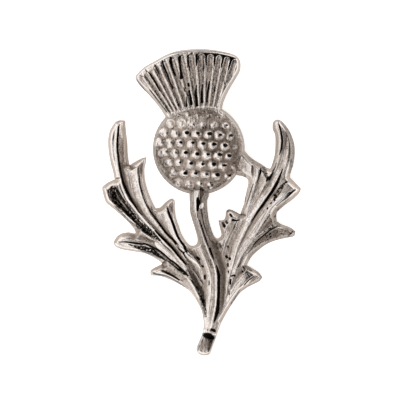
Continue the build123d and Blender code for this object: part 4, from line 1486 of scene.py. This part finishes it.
@dataclass
class Flower:
    """The fluted fan above the globe.

    Fades are over mm along the spokes, from the origin or from the flutes' heads,
    over mm to the right or from a flute's rim, and over the angle from upright.
    """

    origin: tuple[float, float] = (3, 158)
    thickness: float = 2.4
    grid_pitch: float = 0.075
    swells: tuple[Swell, ...] = (Swell(1.2, 11, 0.03), Swell(0.4, 12, 0.03))

    # Flutes: the angles of their middles, and where along the spokes they end at the head and the foot
    spokes: tuple[float, ...] = (
        -37, -33.1, -29.8, -26.4, -21.6, -16.7, -11.6, -6.3, -0.8, 4.2, 8.8, 13.2, 17.6)
    head: float = 20.9
    foot: float = 11.8
    depth: float = 0.13
    least_half: float = 0.05

    # The ridges between them, wider on the right near the heads, and how wide their sides are
    ridge: float = 0.09
    right_half: Fade = Fade(-1.4, -0.2)
    wider_ridge: Fade = Fade(17.5, 20.5, 0.16)
    left_side: float = 0.34
    right_side: float = 0.2

    # Where the flutes are shallower: from the foot up, from the head down, and to the right, with
    # the share of their depth
    shallow_from_foot: Fade = Fade(14.0, 15.5)
    shallow_from_head: Fade = Fade(19.3, 17.8)
    shallow_right: Fade = Fade(-5.0, -2.0, 0.6)

    # How much the fan falls at its reach from the middle, and past the heads, and the rise of its rim
    fall: float = 0.15
    fall_reach: float = 8.0
    top_fall: Fade = Fade(-0.5, 1.1, 0.34)
    top_rim: Fade = Fade(1.3, 1.8, 0.16)

    # Painted shade, in black, between the heads on the right, past their rims and short of the fan's top
    gap_past_rim: Fade = Fade(0.02, 0.1)
    gap_from_foot: Fade = Fade(18.3, 19.5)
    gap_below_top: Fade = Fade(0.98, 0.78)
    gap_short_of_side: Fade = Fade(18.0, 17.5)

    # Painted shade, in black, under the heads on the left, inside their rims
    cap_from_flute: Fade = Fade(-0.28, -0.18)
    cap_to_rim: Fade = Fade(0.02, -0.04)
    cap_at_head: Fade = Fade(-0.6, -0.1)
    cap_on_left: Fade = Fade(0.0, 0.3)
    cap_width: float = 0.6
    cap_short_of_side: Fade = Fade(-30.0, -26.0, 0.92)

    # Dull flutes, and the bead round those on the right, raised a little and wiped bright as a painted
    # highlight
    flute_tarnish: float = 0.46
    flute_share: float = 0.2
    bead_inside: float = 0.04
    bead_half: float = 0.1
    bead_rise: float = 0.05
    bead_from_foot: Fade = Fade(15.0, 18.0)

    outline: tuple[Side, ...] = (
        Side(72, (
            (-28, 190), (-33.7, 201), (-35.5, 205), (-42, 214.6), (-50.3, 224.5), (-60, 234.4),
            (-64, 240.5), (-64.4, 244), (-61.4, 248), (-55.3, 253.5), (-44, 260), (-32, 266.4),
            (-19.5, 270), (-1, 271.4), (14, 270.4), (28.6, 267.4), (36, 264.6), (39.8, 260), (40.6, 255),
            (39.8, 249), (36, 242), (30, 232), (25, 222), (22.4, 213.4), (22, 205), (21, 190))),
        Side(72, ((21, 190), (-28, 190))),
    )
    strokes: tuple[Strokes, ...] = (
        # Painted shade in cuts along the left sides of the flutes, under their heads
        Strokes(-0.04, 0.66,
            ((-60, 244.8, 0.12), (-57.5, 243.5, 0.16)), ((-54.6, 250.6, 0.12), (-53, 248.5, 0.16))),
        Strokes(-0.03, 0.78, ((-52, 248.5, 0.08), (-49, 244, 0.18), (-45, 238, 0.2), (-40, 229, 0.16))),
        Strokes(-0.05, 0.85, ((-45, 255, 0.14), (-43, 251, 0.16), (-40, 245, 0.1))),
        Strokes(-0.06, 1,
            ((-37.4, 259, 0.16), (-36.5, 255, 0.18), (-34, 249, 0.16), (-31.5, 243, 0.14),
             (-30, 238, 0.12), (-27, 232, 0.2)),
            ((-29, 262, 0.24), (-28.5, 256, 0.24), (-27, 250, 0.22), (-24.5, 244.5, 0.2)),
            ((-20, 263, 0.24), (-20, 255, 0.22), (-19, 248, 0.24), (-18.5, 242, 0.34)),
            ((-12, 264, 0.2), (-12, 257, 0.2), (-12, 252, 0.12))),
        # Painted shade in cuts between the heads on the right
        Strokes(-0.08, 1,
            ((-2.5, 264.5, 0.4), (-3, 259, 0.28), (-3.5, 254, 0.12)),
            ((6, 264.5, 0.44), (5.3, 259, 0.26), (4, 251, 0.12)),
            ((15.5, 264, 0.44), (14, 258, 0.28), (12.5, 252, 0.12)),
            ((23.5, 262, 0.4), (22, 257, 0.26), (20, 251, 0.12)),
            ((33, 260.5, 0.42), (31, 256, 0.28), (29, 250, 0.12)),
            ((-3, 265.3, 0.18), (8, 265.3, 0.22), (19, 264.6, 0.2))),
        # Slots at the feet, cut and filled with painted shade
        Strokes(-0.08, 1,
            ((-11.5, 236, 0.22), (-11, 234, 0.24)), ((-16, 232, 0.12), (-15, 228.5, 0.14)),
            ((-10.7, 229, 0.16), (-9.5, 223, 0.2), (-8.6, 216, 0.3)),
            ((-3.5, 234, 0.13), (-4, 227, 0.2), (-3.5, 220, 0.28), (-3, 214, 0.3)),
            ((2.5, 235, 0.13), (2, 227, 0.22), (2, 218, 0.3)),
            ((9.5, 238, 0.13), (8.5, 232, 0.2), (7.5, 225, 0.2), (7, 218, 0.18))),
        Strokes(-0.06, 0.97, ((15, 233, 0.14), (14.5, 228, 0.12))),
        Strokes(-0.06, 1, ((24.5, 239, 0.12), (24.5, 236, 0.12))),
        Strokes(-0.06, 0.97,
            ((-13.5, 223, 0.1), (-13, 213, 0.14)), ((-23.5, 221, 0.1), (-21.5, 214, 0.14))),
        # Painted highlights: bright patches wiped clean
        Strokes(0.04, -1,
            ((-20.5, 226, 0.14), (-18, 219, 0.28), (-17, 213, 0.22)),
            ((-47, 248, 0.12), (-41, 240, 0.22), (-37, 233, 0.14))),
        Strokes(0.02, -1, ((-27, 224, 0.1), (-24, 215, 0.16))),
        # A painted highlight along the collar, and painted shade along the top rim and the left side
        Strokes(0.06, -1,
            ((-33, 205.5, 0.14), (-27, 207, 0.16), (-10, 211, 0.16), (6, 213.5, 0.16), (20, 211.5, 0.14))),
        Strokes(-0.05, 0.82,
            ((-30, 266, 0.1), (-15, 268, 0.12), (0, 268.8, 0.13), (15, 268, 0.12), (30, 266, 0.08))),
        Strokes(-0.05, 0.9,
            ((-63, 240, 0.1), (-55, 230, 0.12), (-45, 218, 0.12), (-37, 207, 0.1)),
            ((-50, 230, 0.1), (-40, 217, 0.14), (-33, 208, 0.12))),
    )

    def relief(self, places: np.ndarray) -> Relief:
        """Cut the flutes along the spokes of the fan, with round heads and a thin ridge between.

        Across a flute the surface falls from its left ridge, runs level and rises to
        its right ridge. The flutes are shallower half-way up, on the right. Past the
        heads the fan falls outwards to a thin raised rim.

        Args:
            places: One row a place: x, y in mm.

        Returns:
            Heights, the grain across and along the spokes, and tarnish and painted light.
        """
        local = places - np.array(self.origin) * SQUARE
        spoke = np.hypot(*local.T)
        beyond = spoke - self.head
        angle = np.degrees(np.arctan2(local[:, 0], local[:, 1]))
        spokes = np.array(self.spokes)
        flute = np.abs(angle[:, None] - spokes).argmin(1)
        aside = np.radians(angle - spokes[flute]) * spoke
        right = self.right_half.at(local[:, 0])

        # How far each place is inside its flute, and how deep the flute is there
        ridge = self.ridge + right * self.wider_ridge.at(spoke)
        pitch = np.radians(np.gradient(spokes))[flute]
        half = np.maximum(pitch / 2 * np.minimum(spoke, self.head) - ridge, self.least_half)
        past = np.clip(beyond, 0, None) + np.clip(self.foot - spoke, 0, None)
        edge = np.hypot(aside, past) - half
        round_half = np.sqrt(np.clip(half**2 - past**2, 0, None))
        from_left = (aside + round_half) / (self.left_side + (self.right_side - self.left_side) * right)
        from_right = (round_half - aside) / self.right_side
        shallow = self.shallow_from_foot.at(spoke) * self.shallow_from_head.at(spoke)
        shallow = shallow * self.shallow_right.at(local[:, 0])
        groove = self.depth * (1 - shallow) * np.clip(np.minimum(from_left, from_right), 0, 1)

        crown = self.thickness - self.fall * (local[:, 0] / self.fall_reach) ** 2
        top = crown - self.top_fall.at(beyond) + self.top_rim.at(beyond)
        height = np.where(groove > 0, np.minimum(top, crown - groove), top)
        height = height + sum(swell.at(places) for swell in self.swells)

        # Painted shade, in black, between the flutes' heads on the right
        gap = right * self.gap_past_rim.at(edge) * self.gap_from_foot.at(spoke)
        gap = gap * self.gap_below_top.at(beyond) * self.gap_short_of_side.at(angle)
        # Painted shade, in black, under the flutes' heads on the left
        cap = (1 - right) * self.cap_from_flute.at(edge) * self.cap_to_rim.at(edge)
        cap = cap * self.cap_at_head.at(beyond) * self.cap_short_of_side.at(angle)
        cap = cap * self.cap_on_left.at(self.cap_width * half - aside)
        dull = self.flute_tarnish * (groove > self.flute_share * self.depth)
        tarnish_and_painted_light = np.maximum(dull, np.maximum(gap, cap))
        height, tarnish_and_painted_light = draw_strokes(places, height, tarnish_and_painted_light, self.strokes)

        # A painted highlight: the bead round the right flutes is wiped clean and bright
        bead = right * np.clip(1 - ((edge + self.bead_inside) / self.bead_half) ** 2, 0, None)
        bead = bead * self.bead_from_foot.at(spoke)
        tarnish_and_painted_light = tarnish_and_painted_light - (1 + tarnish_and_painted_light) * bead
        return height + self.bead_rise * bead, np.column_stack([aside, spoke]), tarnish_and_painted_light

    def build(self) -> bpy.types.Object:
        """Build the fluted fan."""
        return ReliefSheet("flower", Outline(self.outline), self.relief, self.grid_pitch).build()


# The room

class Zone(Enum):
    """The two soft-edged zones of the studio's sky.

    Each is a sector round the point overhead: its middle azimuth and half width,
    the angles from overhead at which it starts and ends, and its brightness.
    """

    WHITE = (189.0, 91.0, 20.0, 84.0, 1.4)
    DARK = (25.0, 72.0, 9.0, 50.0, 0.004)


@dataclass(frozen=True)
class Studio:
    """Pale board, plain soft studio light and the camera that looks square at the brooch's face.

    The board, the camera and what it aims at are in metres. The camera leans by
    two angles from upright, to the right and up the brooch.
    """

    board: str = "#f4f4f4"
    board_glow: float = 0.72
    board_roughness: float = 0.9
    board_size: float = 3.0
    sky: float = 0.44
    sky_tone: str = "#fff6ef"
    soft_turn: float = 14.0
    soft_height: float = 5.0
    camera_distance: float = 0.45
    frame_width: float = 0.080
    sensor_width: float = 36.0
    clip_start: float = 0.01
    aim: tuple[float, float, float] = (-0.00025, 0.0002, 0.0025)
    camera_lean: tuple[float, float] = (0.0, -4.5)

    def lay_board(self) -> None:
        """Lay the pale floor, matt and a little bright of itself, as a board lit evenly all over is."""
        half = self.board_size / 2
        mesh = bpy.data.meshes.new("board")
        around = [(-half, -half, 0), (half, -half, 0), (half, half, 0), (-half, half, 0)]
        mesh.from_pydata(around, [], [(0, 1, 2, 3)])
        board = bpy.data.objects.new("board", mesh)
        bpy.context.scene.collection.objects.link(board)
        material = blank_material("pale_board")
        tree = material.node_tree
        shader = add_node(tree, "ShaderNodeBsdfPrincipled", inputs={
            "Base Color": linear(self.board), "Roughness": self.board_roughness, "Specular IOR Level": 0.0,
            "Emission Color": (1, 1, 1, 1), "Emission Strength": self.board_glow})
        add_node(tree, "ShaderNodeOutputMaterial", inputs={"Surface": shader.outputs["BSDF"]})
        mesh.materials.append(material)

    def hang_sky(self) -> None:
        """Make the soft sky: an even grey with its white zone and its dark zone.

        A zone's share at a place in the sky is the product of three smooth steps
        in the cosine of an angle: inside its sector, below its start and above its end.
        """
        world = bpy.data.worlds.new("studio_sky")
        world.use_nodes = True
        bpy.context.scene.world = world
        tree = world.node_tree
        tree.nodes.clear()
        way = add_node(tree, "ShaderNodeTexCoord").outputs["Generated"]
        up = add_node(tree, "ShaderNodeSeparateXYZ", inputs={0: way}).outputs["Z"]
        flat_way = add_node(tree, "ShaderNodeVectorMath", {"operation": "MULTIPLY"}, {
            0: way, 1: (1, 1, 0)}).outputs[0]
        flat_way = add_node(tree, "ShaderNodeVectorMath", {"operation": "NORMALIZE"}, {
            0: flat_way}).outputs[0]
        level: bpy.types.NodeSocket | tuple[float, ...] = tuple(v * self.sky for v in linear(self.sky_tone))
        for zone in Zone:
            azimuth, half, start, end, bright = zone.value
            middle = (math.cos(math.radians(azimuth)), math.sin(math.radians(azimuth)), 0.0)
            turn = add_node(tree, "ShaderNodeVectorMath", {"operation": "DOT_PRODUCT"}, {
                0: flat_way, 1: middle}).outputs["Value"]
            share: bpy.types.NodeSocket | float = 1.0
            for cosine, angle, soft in (
                (turn, half, self.soft_turn), (up, start, -self.soft_height), (up, end, self.soft_height)
            ):
                step = add_node(tree, "ShaderNodeMapRange", {"interpolation_type": "SMOOTHSTEP"}, {
                    "Value": cosine, "From Min": math.cos(math.radians(angle + soft)),
                    "From Max": math.cos(math.radians(angle - soft))}).outputs[0]
                share = add_node(tree, "ShaderNodeMath", {"operation": "MULTIPLY"}, {
                    0: share, 1: step}).outputs[0]
            level = add_node(tree, "ShaderNodeMix", {"data_type": "RGBA"}, {
                0: share, FIRST_COLOUR: level, SECOND_COLOUR: (bright,) * 4}).outputs[MIXED_COLOUR]
        sky = add_node(tree, "ShaderNodeBackground", inputs={"Color": level, "Strength": 1.0})
        add_node(tree, "ShaderNodeOutputWorld", inputs={"Surface": sky.outputs[0]})

    def set_camera(self) -> None:
        """Stand the camera over the brooch, square on its leaning face, with the frame's width at the aim."""
        data = bpy.data.cameras.new("camera")
        data.type = "PERSP"
        data.sensor_width = self.sensor_width
        data.lens = data.sensor_width * self.camera_distance / self.frame_width
        data.clip_start = self.clip_start
        camera = bpy.data.objects.new("camera", data)
        bpy.context.scene.collection.objects.link(camera)
        right, up = (math.radians(value) for value in self.camera_lean)
        away = np.array([math.sin(right), math.sin(up), 0.0])
        away[2] = math.sqrt(1 - (away**2).sum())
        camera.location = np.array(self.aim) + away * self.camera_distance
        camera.rotation_euler = (-math.asin(away[1]), math.atan2(away[0], away[2]), 0.0)
        bpy.context.scene.camera = camera

    def build(self) -> None:
        """Build the room."""
        self.lay_board()
        self.hang_sky()
        self.set_camera()
        bpy.context.scene.view_settings.view_transform = "Standard"
        LOG.info("studio: board, sky with %d zones, camera", len(Zone))


def dress(piece: bpy.types.Object, material: bpy.types.Material) -> None:
    """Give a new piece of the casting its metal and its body.

    Args:
        piece: The piece.
        material: The metal.
    """
    piece.data.materials.append(material)
    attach(piece, BODY)


def main() -> None:
    """Build the brooch piece by piece and report each."""
    logging.basicConfig(level=logging.INFO, format="%(name)s %(message)s")
    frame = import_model()
    Studio().build()

    metal = CastWhiteMetal().material()
    leaves = Leafwork().build()
    dress(leaves, metal)
    globe = Globe().build()
    dress(globe, metal)
    flower = Flower().build()
    dress(flower, metal)
    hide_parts(CASTING_NODE)

    steel = SatinSteel().material()
    pin = frame["nodes"][PIN_NODE]
    for slot in pin.material_slots:
        slot.material = steel
    LOG.info("%s: satin steel on %d slots", PIN_NODE, len(pin.material_slots))


if __name__ == "__main__":
    main()
